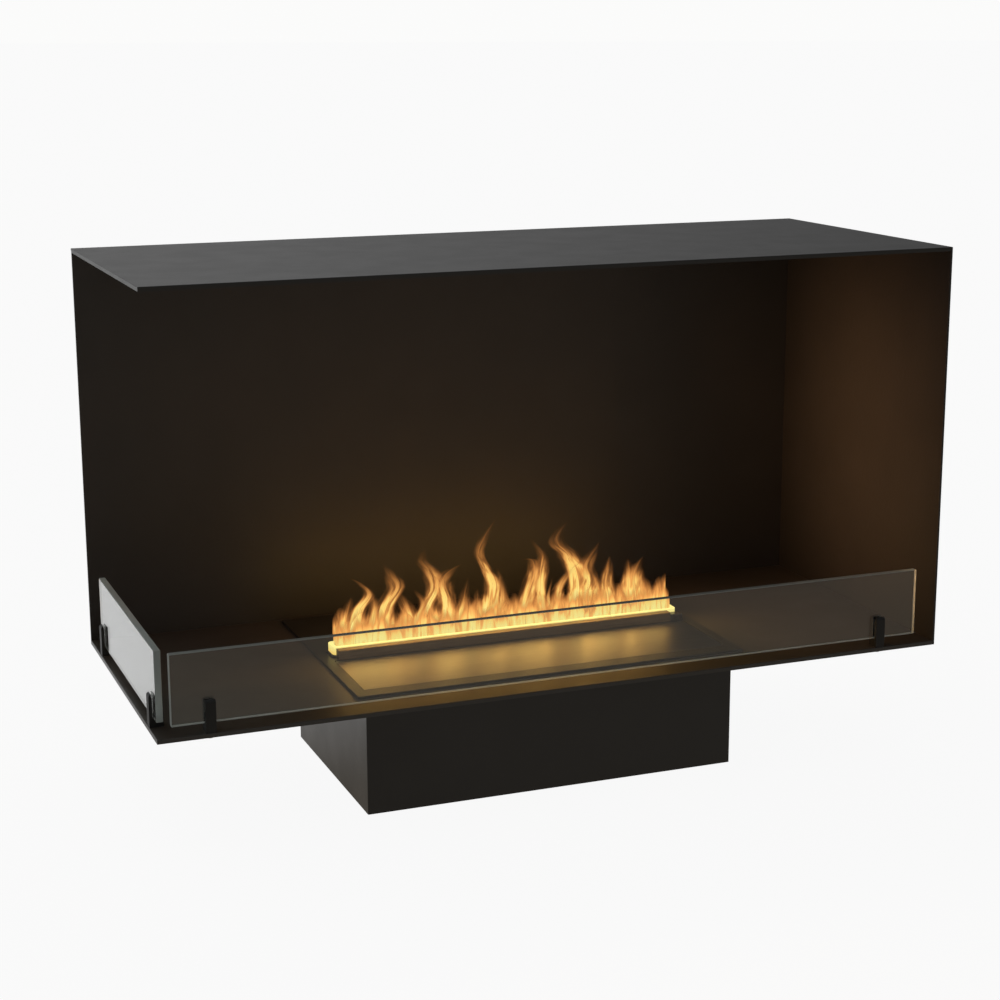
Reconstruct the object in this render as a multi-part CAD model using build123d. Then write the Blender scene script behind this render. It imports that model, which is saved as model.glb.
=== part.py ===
from build123d import *
import math
import os

os.makedirs("parts", exist_ok=True)

# Corner water vapour fireplace: a sheet steel firebox open at the front and the left end, two low glass
# guards, and a vapour insert dropped into the deck. Millimetres, +Z up, front is -Y, the open end is -X.
# The origin is the middle of the part's footprint on the surface that the insert stands on.

# Casing
casing_width = 1000.0
casing_depth = 406.0
casing_height = 506.0
insert_drop = 143.0
sheet = 2.5
hem_width = 12.0
flange_width = 15.0
seam_gap = 0.2
edge_radius = 0.8
pick_tolerance = 0.01
corner_screw_pitch = 112.0

# Fasteners, M4 throughout
thread_radius = 2.0
hole_clearance = 0.25
nut_across_flats = 7.0
nut_height = 3.2
stud_length = 9.0
screw_head_radius = 3.8
screw_head_height = 2.4
countersink_radius = 3.9
countersink_depth = 2.0

# Glass guards and their clips
glass_thickness = 8.0
glass_height = 84.0
glass_lift = 11.0
glass_edge_chamfer = 0.7
front_glass_length = 955.0
front_glass_start = 17.5
front_glass_inset = 5.0
side_glass_length = 326.0
side_glass_start = 26.0
side_glass_inset = 5.0
clip_width = 12.0
clip_height = 39.0
clip_wall = 3.0
front_clip_left_distance = 44.0
front_clip_right_distance = 52.0
side_clip_front_distance = 24.0
side_clip_back_distance = 17.0
clip_round = 4.0
liner = 1.0
liner_gap = 0.2

# Insert: sheet body, trim frame and lid
body_width = 481.0
body_depth = 294.0
body_offset_y = 2.0
body_sheet = 2.0
body_corner_radius = 1.5
cutout_gap = 1.5
front_rim = 24.0
side_rim = 7.0
rear_rim = 16.0
frame_sheet = 3.0
frame_border = 11.5
frame_front_overlap = 4.0
frame_rear_overlap = 36.0
frame_corner_radius = 1.5
opening_inset = 0.5
lid_front_border = 22.0
lid_opening_depth = 120.5
lid_gap = 0.5
lid_rear_gap = 2.8
web_width = 12.0
slot_opening_depth = 28.5

# Lid hinge
hinge_axis_back = 12.0
hinge_axis_down = 4.5
lug_width = 10.0
lug_radius = 4.0
pin_radius = 1.5
running_gap = 0.05
hinge_boss_radius = 3.5
hinge_boss_length = 8.0
side_gap = 1.0

# Bar, receiver and light diffuser round the flame slot
bar_height = 12.0
bar_sheet = 1.5
bar_end_distance = 6.0
receiver_length = 17.0
receiver_height = 9.0
receiver_window_radius = 3.0
receiver_window_rise = 1.0
collar_height = 6.0
diffuser_height = 10.0
diffuser_wall = 5.0
diffuser_gap = 0.5
diffuser_corner_radius = 6.0
groove_width = 3.0
groove_depth = 4.0
led_board_height = 1.0
led_size = 2.0
led_pitch = 38.0

# Mist basin and nozzle
basin_end_gap = 7.0
basin_depth = 62.0
basin_height = 118.0
basin_wall = 2.5
basin_floor_level = 24.0
nozzle_rim = 2.0
nozzle_rim_overlap = 3.0
transducer_count = 6
transducer_end_gap = 8.0
transducer_radius = 10.0
transducer_thickness = 1.2
transducer_window_radius = 8.0
ring_width = 3.0
ring_height = 3.0
board_thickness = 1.6
driver_board_end_gap = 34.0
driver_board_depth = 40.0
driver_board_level = 12.0
standoff_radius = 2.5
oscillator_radius = 6.0
oscillator_height = 4.8

# Fans
fan_size = 60.0
fan_thickness = 15.0
fan_bore_radius = 28.5
fan_tip_gap = 1.2
fan_hub_radius = 10.0
fan_hub_length = 9.0
fan_nose = 2.0
fan_blade_count = 7
fan_blade_thickness = 1.4
fan_blade_chord = 10.5
fan_root_pitch = 48.0
fan_tip_pitch = 26.0
fan_root_sink = 1.0
fan_level = 85.0
fan_end_gap = 82.0
fan_shaft_radius = 1.5
fan_strut_width = 3.0
fan_plate = 2.0
fan_screw_inset = 5.0

# Water tank
tank_length = 280.0
tank_depth = 124.0
tank_foot_height = 4.0
tank_foot_radius = 8.0
tank_height = 105.5
tank_wall = 2.5
tank_gap = 18.5
tank_front_gap = 2.0
tank_cover_thickness = 3.0
neck_radius = 24.0
neck_bore_radius = 20.0
neck_height = 13.0
neck_from_left = 70.0
strainer_ledge = 2.0
strainer_wall = 1.0
strainer_depth = 45.0
strainer_slot_width = 2.0
cap_wall = 2.5
cap_gap = 0.3
cap_top = 3.0
cap_skirt = 10.0
cap_grip_height = 7.0
cap_grip_width = 6.0
stem_radius = 3.0
stem_stop_radius = 6.0
stem_stop_height = 2.0
stem_foot = 10.0
stem_from_right = 40.0
float_radius = 14.0
float_height = 18.0
float_gap = 0.4

# Pump, hoses and drain
pump_radius = 13.0
pump_length = 52.0
pump_head_length = 17.0
pump_motor_radius = 11.0
pump_foot = 2.0
pump_gap = 16.0
hose_radius = 5.0
hose_bore = 3.0
feed_level = 62.0
feed_bend = 14.0
drain_level = 12.0
drain_from_left = 12.0
valve_radius = 8.0
valve_length = 24.0
valve_flange_radius = 11.0
valve_post_height = 2.5
valve_flange = 2.5
spout_radius = 5.0
spout_length = 14.0
handle_stem_radius = 2.5
handle_length = 24.0
handle_width = 7.0
handle_thickness = 3.0
handle_corner_radius = 3.1

# Air inlet
grille_width = 130.0
grille_height = 52.0
grille_level = 58.0
grille_margin = 8.0
grille_plate = 2.0
grille_slot_width = 4.0
grille_slot_pitch = 8.0
filter_thickness = 8.0

# Electrics
supply_length = 120.0
supply_depth = 45.0
supply_height = 36.0
supply_from_left = 60.0
supply_chamfer = 1.0
vent_width = 2.0
vent_depth = 1.0
vent_pitch = 16.0
supply_board_gap = 16.0
board_length = 150.0
board_depth = 52.0
board_level = 8.0
chip_size = 15.0
chip_from_left = 60.0
relay_length = 19.0
relay_depth = 15.0
relay_height = 15.0
relay_from_left = 97.0
capacitor_radius = 5.0
capacitor_height = 12.0
capacitor_pitch = 17.0
capacitor_from_left = 31.0
terminal_length = 14.0
terminal_depth = 8.0
terminal_height = 8.0
rear_clearance = 8.0
inlet_from_right = 79.5
inlet_level = 40.0
inlet_width = 27.0
inlet_height = 20.0
inlet_depth = 20.0
inlet_flange_width = 48.0
inlet_flange_height = 28.0
inlet_flange = 2.5
socket_wall = 2.0
socket_depth = 16.0
contact_width = 2.0
contact_height = 4.0
contact_length = 13.0
contact_spacing = 7.0
contact_drop = 1.5
earth_contact_rise = 2.5
switch_from_right = 34.5
switch_level = 40.0
switch_width = 15.0
switch_height = 21.0
switch_flange = 2.0
switch_depth = 14.0
switch_wall = 1.8
rocker_tilt = 8.0
rocker_gap = 0.4
rocker_depth = 5.0
rocker_taper = 1.5
rocker_tip_taper = 0.8
wire_radius = 1.6
wire_bend = 9.0

# Button panel beside the tank, below the lid
panel_gap = 8.0
panel_level = 118.0
panel_thickness = 2.5
panel_leg_radius = 4.0
button_count = 3
button_pitch = 32.0
button_radius = 8.0
button_gap = 0.3
button_rise = 4.0
button_flange = 2.0
button_flange_gap = 0.4
button_stem_radius = 2.0
button_stem_length = 6.0
button_travel = 1.0
switch_board_length = 90.0
switch_board_depth = 34.0
tact_height = 3.0
tact_size = 6.0
board_post_radius = 2.0

# Fixing holes in the insert's floor
fixing_spacing_x = 458.0
fixing_spacing_y = 240.0
fixing_radius = 2.75

# Brackets under the deck
bracket_leg = 20.0
bracket_sheet = 2.0
bracket_length = 200.0
bracket_screw_spacing = 150.0

# Levels and edges that follow from the sizes above
left = -casing_width / 2
right = casing_width / 2
front = -casing_depth / 2
back = casing_depth / 2
deck_low = insert_drop
deck_top = deck_low + 2 * sheet
casing_top = deck_low + casing_height
ceiling = casing_top - sheet
back_face = back - 2 * sheet
right_face = right - sheet

body_left = -body_width / 2
body_right = body_width / 2
body_front = body_offset_y - body_depth / 2
body_back = body_offset_y + body_depth / 2
inner_left = body_left + body_sheet
inner_right = body_right - body_sheet
inner_front = body_front + body_sheet
inner_back = body_back - body_sheet
floor_top = body_sheet

frame_left = body_left - frame_border
frame_right = body_right + frame_border
frame_front = body_front - frame_front_overlap
frame_back = body_back + frame_rear_overlap
frame_top = deck_top + frame_sheet
opening_left = inner_left + opening_inset
opening_right = inner_right - opening_inset
lid_front = frame_front + lid_front_border
lid_back = lid_front + lid_opening_depth
slot_front = lid_back + web_width
slot_back = slot_front + slot_opening_depth

hinge_y = lid_back - hinge_axis_back
hinge_z = deck_top - hinge_axis_down

diffuser_left = opening_left + diffuser_gap + nozzle_rim
diffuser_right = opening_right - diffuser_gap - nozzle_rim
diffuser_front = slot_front + diffuser_gap
diffuser_back = slot_back - diffuser_gap
collar_top = deck_top + collar_height
diffuser_top = collar_top + diffuser_height
throat_left = diffuser_left + diffuser_wall
throat_right = diffuser_right - diffuser_wall
throat_front = diffuser_front + diffuser_wall
throat_back = diffuser_back - diffuser_wall

basin_left = inner_left + basin_end_gap
basin_right = inner_right - basin_end_gap
basin_front = slot_front - diffuser_wall
basin_back = basin_front + basin_depth
basin_top = floor_top + basin_height
basin_middle = (basin_front + basin_back) / 2
driver_board_left = basin_left + driver_board_end_gap
driver_board_right = basin_right - driver_board_end_gap
fan_left = basin_left + fan_end_gap
fan_right = basin_right - fan_end_gap

tank_left = inner_left + tank_gap
tank_right = tank_left + tank_length
tank_front = inner_front + tank_front_gap
tank_back = tank_front + tank_depth
tank_low = floor_top + tank_foot_height
tank_top = tank_low + tank_height
cover_top = tank_top + tank_cover_thickness
neck_x = tank_left + neck_from_left
neck_y = (tank_front + tank_back) / 2
neck_top = cover_top + neck_height
stem_x = tank_right - stem_from_right
drain_x = tank_left + drain_from_left

panel_left = tank_right + panel_gap
panel_right = inner_right - panel_gap
panel_middle = (panel_left + panel_right) / 2
panel_top = panel_level + panel_thickness

inlet_x = inner_right - inlet_from_right
switch_x = inner_right - switch_from_right


# Shapes that repeat

def block(x0, x1, y0, y1, z0, z1):
    middle = ((x0 + x1) / 2, (y0 + y1) / 2, (z0 + z1) / 2)
    return Pos(*middle) * Box(x1 - x0, y1 - y0, z1 - z0)


def rod_z(x, y, z0, z1, radius):
    return Pos(x, y, (z0 + z1) / 2) * Cylinder(radius, z1 - z0)


def rod_x(y, z, x0, x1, radius):
    return Pos((x0 + x1) / 2, y, z) * Rot(0, 90, 0) * Cylinder(radius, x1 - x0)


def rod_y(x, z, y0, y1, radius):
    return Pos(x, (y0 + y1) / 2, z) * Rot(90, 0, 0) * Cylinder(radius, y1 - y0)


def spread(middle, pitch, count):
    return [middle + (i - (count - 1) / 2) * pitch for i in range(count)]


def join(pieces):
    result = pieces[0]
    for piece in pieces[1:]:
        result = result + piece
    return result


def cut(shape, holes):
    for hole in holes:
        shape = shape - hole
    return shape


def save(name, *pieces):
    solids = [solid for piece in pieces for solid in piece.solids()]
    shape = solids[0] if len(solids) == 1 else Compound(children=solids)
    export_step(shape, "parts/" + name + ".step")


# Casing panels. The walls' flanges lie against the sheets of the top and the deck, and the free edges of
# both sheets are folded under into a hem of the same thickness.

def back_stud_places():
    span = casing_width - 2 * flange_width - hem_width
    y = back_face - flange_width / 2
    return [(x, y) for x in spread((left + right_face) / 2, span / 4, 4)]


def right_stud_places():
    x = right_face - (flange_width - sheet) / 2
    return [(x, y) for y in spread((front + back_face) / 2, casing_depth / 3, 3)]


def wall_studs(z0, z1):
    return [rod_z(x, y, z0, z1, thread_radius) for x, y in back_stud_places() + right_stud_places()]


def wall_stud_holes(z0, z1):
    radius = thread_radius + hole_clearance
    return [rod_z(x, y, z0, z1, radius) for x, y in back_stud_places() + right_stud_places()]


def hemmed_sheet(x1, y1, sheet_low, hem_low):
    hem_back = back_face - flange_width - seam_gap
    hem_right = right_face - seam_gap
    plate = block(left, x1, front, y1, sheet_low, sheet_low + sheet)
    front_hem = block(left, hem_right, front, front + hem_width, hem_low, hem_low + sheet)
    left_hem = block(left, left + hem_width, front, hem_back, hem_low, hem_low + sheet)
    return plate + front_hem + left_hem


def soften_free_edges(shape, level):
    near = pick_tolerance
    front_edges = shape.edges().filter_by(Axis.X).filter_by_position(Axis.Y, front - near, front + near)
    left_edges = shape.edges().filter_by(Axis.Y).filter_by_position(Axis.X, left - near, left + near)
    edges = [edge for edge in front_edges + left_edges if abs(edge.center().Z - level) < near]
    return fillet(edges, edge_radius)


def top_panel():
    shape = hemmed_sheet(right, back, ceiling, ceiling - sheet)
    shape = soften_free_edges(shape, casing_top)
    return join([shape] + wall_studs(ceiling - stud_length, ceiling))


def deck_panel():
    shape = hemmed_sheet(right_face - seam_gap, back_face - seam_gap, deck_low + sheet, deck_low)
    gap = cutout_gap
    opening = block(body_left - gap, body_right + gap, body_front - gap, body_back + gap, deck_low, deck_top)
    shape = soften_free_edges(shape - opening, deck_top)
    shape = cut(shape, clip_screw_holes())
    sheet_low = deck_low + sheet
    return join([shape] + wall_studs(sheet_low - stud_length, sheet_low))


def back_panel():
    low, high = deck_low, ceiling
    flange_right = right - flange_width - seam_gap
    flange_front = back_face - flange_width
    web = block(left, right_face - seam_gap, back_face, back - sheet, low, high)
    foot = block(left, flange_right, flange_front, back_face, low, low + sheet)
    head = block(left, flange_right, flange_front, back_face, high - sheet, high)
    shape = cut(web + foot + head, wall_stud_holes(low, high))
    return cut(shape, [rod_y(x, z, back_face, back, thread_radius) for x, z in corner_screw_places()])


def right_panel():
    low, high = deck_low, ceiling
    flange_left = right - flange_width
    flange_front = front + hem_width + seam_gap
    flange_back = back_face - seam_gap
    web = block(right_face, right, front, back, low, high)
    foot = block(flange_left, right_face, flange_front, flange_back, low, low + sheet)
    head = block(flange_left, right_face, flange_front, flange_back, high - sheet, high)
    rear = block(flange_left, right_face, back - sheet, back, low, high)
    shape = cut(web + foot + head + rear, wall_stud_holes(low, high))
    return cut(shape, [countersunk_screw(x, z) for x, z in corner_screw_places()])


def corner_screw_places():
    x = right_face - (flange_width - sheet) / 2
    middle = (deck_low + ceiling) / 2
    return [(x, z) for z in spread(middle, corner_screw_pitch, 4)]


def countersunk_screw(x, z):
    head = Cone(thread_radius, countersink_radius, countersink_depth)
    head = Pos(x, back - countersink_depth / 2, z) * Rot(-90, 0, 0) * head
    return head + rod_y(x, z, back_face, back, thread_radius)


def hex_nut(x, y, top):
    outline = RegularPolygon(nut_across_flats / math.sqrt(3), 6)
    body = extrude(outline - Circle(thread_radius), nut_height)
    return Pos(x, y, top - nut_height) * body


def nuts():
    places = back_stud_places() + right_stud_places()
    upper = [hex_nut(x, y, ceiling - sheet) for x, y in places]
    lower = [hex_nut(x, y, deck_low) for x, y in places]
    rim = [hex_nut(x, y, deck_top - body_sheet) for x, y in frame_stud_places()]
    return upper + lower + rim


# Glass guards: each stands in two slotted clips, on a soft liner.

glass_low = deck_top + glass_lift
front_glass_left = left + front_glass_start
front_glass_right = front_glass_left + front_glass_length
front_glass_front = front + front_glass_inset
side_glass_front = front + side_glass_start
side_glass_back = side_glass_front + side_glass_length
side_glass_left = left + side_glass_inset
clip_depth = glass_thickness + 2 * (liner_gap + liner + clip_wall)


def front_glass():
    x0, x1, y0 = front_glass_left, front_glass_right, front_glass_front
    pane = block(x0, x1, y0, y0 + glass_thickness, glass_low, glass_low + glass_height)
    return chamfer(pane.edges(), glass_edge_chamfer)


def left_glass():
    x0, y0, y1 = side_glass_left, side_glass_front, side_glass_back
    pane = block(x0, x0 + glass_thickness, y0, y1, glass_low, glass_low + glass_height)
    return chamfer(pane.edges(), glass_edge_chamfer)


def clip():
    half = clip_width / 2
    side = block(-half, half, -clip_depth / 2, clip_depth / 2, 0, clip_height)
    side = fillet(side.edges().filter_by(Axis.X).group_by(Axis.Z)[-1], clip_round)
    slot_half = glass_thickness / 2 + liner_gap + liner
    slot = block(-half, half, -slot_half, slot_half, glass_lift - liner, clip_height)
    return side - slot - rod_z(0, 0, 0, glass_lift - 2 * liner, thread_radius)


def clip_liner():
    half = clip_width / 2
    outer = glass_thickness / 2 + liner_gap + liner
    inner = glass_thickness / 2 + liner_gap
    top = clip_height - clip_round - liner
    body = block(-half, half, -outer, outer, glass_lift - liner, top)
    return body - block(-half, half, -inner, inner, glass_lift, top)


def clip_places():
    front_y = front_glass_front + glass_thickness / 2
    side_x = side_glass_left + glass_thickness / 2
    return {
        "front_clip_left": Pos(front_glass_left + front_clip_left_distance, front_y, deck_top),
        "front_clip_right": Pos(front_glass_right - front_clip_right_distance, front_y, deck_top),
        "side_clip_front": Pos(side_x, side_glass_front + side_clip_front_distance, deck_top) * Rot(0, 0, 90),
        "side_clip_back": Pos(side_x, side_glass_back - side_clip_back_distance, deck_top) * Rot(0, 0, 90),
    }


def clip_screw_holes():
    radius = thread_radius + hole_clearance
    holes = []
    for place in clip_places().values():
        point = place.position
        holes.append(rod_z(point.X, point.Y, deck_low, deck_top, radius))
    return holes


def clip_seat_level(point):
    over_front_hem = point.Y < front + hem_width
    over_left_hem = point.X < left + hem_width
    return deck_low if over_front_hem or over_left_hem else deck_low + sheet


def clip_screws():
    screws = []
    for place in clip_places().values():
        point = place.position
        seat = clip_seat_level(point)
        head = rod_z(point.X, point.Y, seat - screw_head_height, seat, screw_head_radius)
        shank = rod_z(point.X, point.Y, seat, deck_top + glass_lift - 2 * liner, thread_radius)
        screws.append(head + shank)
    return screws


# Insert body: a folded tray whose rim turns inwards to carry the trim frame and the lid.

def frame_stud_places():
    front_y = lid_front - (lid_front - inner_front) / 2
    back_y = inner_back - rear_rim / 2
    return [(x, y) for x in spread(0, body_width / 3, 3) for y in (front_y, back_y)]


def fixing_places():
    half_x, half_y = fixing_spacing_x / 2, fixing_spacing_y / 2
    return [(x, body_offset_y + y) for x in (-half_x, half_x) for y in (-half_y, half_y)]


def bracket_screw_places():
    return [body_offset_y + y for y in (-bracket_screw_spacing / 2, bracket_screw_spacing / 2)]


def body_rim():
    low, high = deck_top - body_sheet, deck_top
    hinge_room = hinge_y - lug_radius
    front_strip = block(inner_left, inner_right, inner_front, inner_front + front_rim, low, high)
    back_strip = block(inner_left, inner_right, inner_back - rear_rim, inner_back, low, high)
    strips = [front_strip, back_strip]
    for x0, x1 in ((inner_left, inner_left + side_rim), (inner_right - side_rim, inner_right)):
        strips.append(block(x0, x1, inner_front, hinge_room, low, high))
    return strips


def cassette_body():
    outer = block(body_left, body_right, body_front, body_back, 0, deck_top)
    outer = fillet(outer.edges().filter_by(Axis.Z), body_corner_radius)
    inner = block(inner_left, inner_right, inner_front, inner_back, floor_top, deck_top)
    shape = join([outer - inner] + body_rim())
    radius = thread_radius + hole_clearance
    holes = [rod_z(x, y, deck_top - body_sheet, deck_top, radius) for x, y in frame_stud_places()]
    holes += [rod_z(x, y, 0, floor_top, fixing_radius) for x, y in fixing_places()]
    level = deck_low - bracket_leg / 2
    holes += [rod_x(y, level, body_left, body_right, radius) for y in bracket_screw_places()]
    holes += [grille_window(), inlet_cutout(), switch_cutout()]
    holes.append(rod_y(drain_x, drain_level, inner_back, body_back, hose_radius + hole_clearance))
    return cut(shape, holes)


def trim_frame():
    plate = block(frame_left, frame_right, frame_front, frame_back, deck_top, frame_top)
    plate = fillet(plate.edges().filter_by(Axis.Z), frame_corner_radius)
    lid_opening = block(opening_left, opening_right, lid_front, lid_back, deck_top, frame_top)
    slot_opening = block(opening_left, opening_right, slot_front, slot_back, deck_top, frame_top)
    plate = cut(plate, [lid_opening, slot_opening])
    low = deck_top - stud_length
    return join([plate] + [rod_z(x, y, low, deck_top, thread_radius) for x, y in frame_stud_places()])


def bracket(side):
    wall = body_right if side > 0 else body_left
    tip, inner = wall + side * bracket_leg, wall + side * bracket_sheet
    y0, y1 = body_offset_y - bracket_length / 2, body_offset_y + bracket_length / 2
    top = deck_low + sheet
    upright = block(min(wall, inner), max(wall, inner), y0, y1, top - bracket_leg, top)
    ledge = block(min(wall, tip), max(wall, tip), y0, y1, top - bracket_sheet, top)
    level = deck_low - bracket_leg / 2
    hole_radius = thread_radius
    return cut(upright + ledge, [rod_x(y, level, min(wall, inner), max(wall, inner), hole_radius)
                                 for y in bracket_screw_places()])


def bracket_screws():
    level = deck_low - bracket_leg / 2
    screws = []
    for side, wall, face in ((-1, body_left, inner_left), (1, body_right, inner_right)):
        tip, head = wall + side * bracket_sheet, face - side * screw_head_height
        for y in bracket_screw_places():
            shank = rod_x(y, level, min(face, tip), max(face, tip), thread_radius)
            screws.append(shank + rod_x(y, level, min(face, head), max(face, head), screw_head_radius))
    return screws


# Lid over the filling bay: hinged at its rear edge on two pins in bosses on the side walls.

def lug_spans():
    boss_left = inner_left + hinge_boss_length + side_gap
    boss_right = inner_right - hinge_boss_length - side_gap
    return [(boss_left, boss_left + lug_width), (boss_right - lug_width, boss_right)]


def fill_lid():
    x0, x1 = opening_left + lid_gap, opening_right - lid_gap
    plate = block(x0, x1, lid_front + lid_gap, lid_back - lid_rear_gap, deck_top, frame_top)
    for lug_left, lug_right in lug_spans():
        neck = block(lug_left, lug_right, hinge_y - lug_radius, hinge_y + lug_radius, hinge_z, deck_top)
        plate = plate + neck + rod_x(hinge_y, hinge_z, lug_left, lug_right, lug_radius)
    bores = [rod_x(hinge_y, hinge_z, a, b, pin_radius + running_gap) for a, b in lug_spans()]
    return cut(plate, bores)


def hinge_bosses():
    bosses = []
    length = hinge_boss_length
    for x0, x1 in ((inner_left, inner_left + length), (inner_right - length, inner_right)):
        boss = rod_x(hinge_y, hinge_z, x0, x1, hinge_boss_radius)
        bosses.append(boss - rod_x(hinge_y, hinge_z, x0, x1, pin_radius))
    return bosses


def hinge_pins():
    (_, left_end), (right_end, _) = lug_spans()
    left_pin = rod_x(hinge_y, hinge_z, inner_left, left_end, pin_radius)
    right_pin = rod_x(hinge_y, hinge_z, right_end, inner_right, pin_radius)
    return [left_pin, right_pin]


# Bar in front of the flame slot, receiver at its right end, and the light diffuser round the slot.

def slot_bar():
    x0, x1 = opening_left + bar_end_distance, opening_right - receiver_length
    top = frame_top + bar_height
    outer = block(x0, x1, lid_back, slot_front, frame_top, top)
    outer = fillet(outer.edges().filter_by(Axis.X).group_by(Axis.Z)[-1], edge_radius)
    inner = block(x0 + bar_sheet, x1 - bar_sheet, lid_back + bar_sheet, slot_front - bar_sheet,
                  frame_top, top - bar_sheet)
    return outer - inner


def receiver():
    x0, x1 = opening_right - receiver_length, opening_right
    top = frame_top + receiver_height
    case = block(x0 + seam_gap, x1, lid_back, slot_front, frame_top, top)
    case = fillet(case.edges().filter_by(Axis.X).group_by(Axis.Z)[-1], edge_radius)
    middle = (x0 + x1) / 2
    level = (frame_top + top) / 2
    return case + rod_y(middle, level, lid_back - receiver_window_rise, lid_back, receiver_window_radius)


def light_diffuser():
    ring = slot_ring(collar_top, diffuser_top)
    return cut(ring, [block(x0, x1, y0, y1, collar_top, collar_top + groove_depth)
                      for x0, x1, y0, y1 in groove_places()])


def slot_ring(low, high):
    outer = block(diffuser_left, diffuser_right, diffuser_front, diffuser_back, low, high)
    outer = fillet(outer.edges().filter_by(Axis.Z), diffuser_corner_radius)
    inner = block(throat_left, throat_right, throat_front, throat_back, low, high)
    inner_radius = diffuser_corner_radius - diffuser_wall + edge_radius
    return outer - fillet(inner.edges().filter_by(Axis.Z), inner_radius)


def groove_places():
    x0, x1 = throat_left + diffuser_corner_radius, throat_right - diffuser_corner_radius
    margin = (diffuser_wall - groove_width) / 2
    front_groove = (x0, x1, diffuser_front + margin, throat_front - margin)
    back_groove = (x0, x1, throat_back + margin, diffuser_back - margin)
    return [front_groove, back_groove]


def led_strips():
    strips = []
    for x0, x1, y0, y1 in groove_places():
        board = block(x0 + seam_gap, x1 - seam_gap, y0 + seam_gap, y1 - seam_gap,
                      collar_top, collar_top + led_board_height)
        middle = (y0 + y1) / 2
        count = int((x1 - x0) / led_pitch)
        for x in spread((x0 + x1) / 2, led_pitch, count):
            half = led_size / 2
            board = board + block(x - half, x + half, middle - half, middle + half,
                                  collar_top, collar_top + led_board_height + led_size / 2)
        strips.append(board)
    return strips


# Mist chamber: a basin with the transducers in its floor, under a hood that narrows to the flame slot and
# ends in a low collar that carries the diffuser.

def mist_basin():
    outer = block(basin_left, basin_right, basin_front, basin_back, floor_top, basin_top)
    inner_x0, inner_x1 = basin_left + basin_wall, basin_right - basin_wall
    inner_y0, inner_y1 = basin_front + basin_wall, basin_back - basin_wall
    floor_low = basin_floor_level
    water_room = block(inner_x0, inner_x1, inner_y0, inner_y1, floor_low + basin_wall, basin_top)
    dry_room = block(inner_x0, inner_x1, inner_y0, inner_y1, floor_top, floor_low)
    shape = outer - water_room - dry_room
    seat = floor_low + basin_wall - transducer_thickness
    for x in transducer_places():
        window = rod_z(x, basin_middle, floor_low, seat, transducer_window_radius)
        pocket = rod_z(x, basin_middle, seat, floor_low + basin_wall, transducer_radius)
        shape = shape - window - pocket
    for x in (fan_left, fan_right):
        shape = shape - rod_y(x, fan_level, inner_y1, basin_back, fan_bore_radius)
    shape = shape - rod_y(pump_outlet_x(), feed_level, basin_front, inner_y0, hose_radius)
    radius = hose_radius + hole_clearance
    return shape - rod_y(drain_x, drain_level, basin_front, basin_back, radius)


def transducer_places():
    length = driver_board_right - driver_board_left - 2 * transducer_end_gap
    return spread(0, length / (transducer_count - 1), transducer_count)


def transducers():
    seat = basin_floor_level + basin_wall - transducer_thickness
    top = seat + transducer_thickness
    return [rod_z(x, basin_middle, seat, top, transducer_radius) for x in transducer_places()]


def transducer_rings():
    low = basin_floor_level + basin_wall
    outer, inner = transducer_window_radius + ring_width + ring_width / 2, transducer_window_radius
    rings = []
    for x in transducer_places():
        ring = rod_z(x, basin_middle, low, low + ring_height, outer)
        rings.append(ring - rod_z(x, basin_middle, low, low + ring_height, inner))
    return rings


def nozzle_section(level, x0, x1, y0, y1):
    return Pos((x0 + x1) / 2, (y0 + y1) / 2, level) * Rectangle(x1 - x0, y1 - y0)


def mist_nozzle():
    rim_low = deck_top - nozzle_rim
    wall = basin_wall
    outer = loft([nozzle_section(basin_top, basin_left, basin_right, basin_front, basin_back),
                  nozzle_section(rim_low, throat_left - wall, throat_right + wall,
                                 throat_front - wall, throat_back + wall)])
    inner = loft([nozzle_section(basin_top, basin_left + wall, basin_right - wall,
                                 basin_front + wall, basin_back - wall),
                  nozzle_section(rim_low, throat_left, throat_right, throat_front, throat_back)])
    overlap = nozzle_rim_overlap
    rim = block(opening_left, opening_right, slot_front - overlap, slot_back + overlap, rim_low, deck_top)
    throat = block(throat_left, throat_right, throat_front, throat_back, rim_low, deck_top)
    return (outer - inner) + (rim - throat) + slot_ring(deck_top, collar_top)


def driver_board():
    low = driver_board_level
    y0, y1 = basin_middle - driver_board_depth / 2, basin_middle + driver_board_depth / 2
    x0, x1 = driver_board_left, driver_board_right
    board = block(x0, x1, y0, y1, low, low + board_thickness)
    inset = 2 * standoff_radius
    for x in (x0 + inset, x1 - inset):
        for y in (y0 + inset, y1 - inset):
            board = board + rod_z(x, y, low, basin_floor_level, standoff_radius)
    for x in transducer_places():
        board = board + rod_z(x, basin_middle, low, low + oscillator_height, oscillator_radius)
    return board


# Fans: a square housing with a spider plate that carries the shaft, and a rotor with twisted blades.

def fan_housing(x):
    y0 = basin_back
    y1 = y0 + fan_thickness
    half = fan_size / 2
    body = block(x - half, x + half, y0, y1, fan_level - half, fan_level + half)
    body = body - rod_y(x, fan_level, y0, y1, fan_bore_radius)
    plate_front = y1 - fan_plate
    hub = rod_y(x, fan_level, plate_front, y1, fan_hub_radius)
    shaft = rod_y(x, fan_level, plate_front - fan_hub_length + fan_nose, y1, fan_shaft_radius)
    struts = [hub, shaft]
    for angle in (90, 210, 330):
        strut = Pos(fan_bore_radius / 2, 0, 0) * Box(fan_bore_radius, fan_plate, fan_strut_width)
        struts.append(Pos(x, (plate_front + y1) / 2, fan_level) * Rot(0, angle, 0) * strut)
    inset = half - fan_screw_inset
    corners = [(a, b) for a in (-inset, inset) for b in (-inset, inset)]
    holes = [rod_y(x + a, fan_level + b, y0, y1, thread_radius) for a, b in corners]
    return cut(join([body] + struts), holes)


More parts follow.
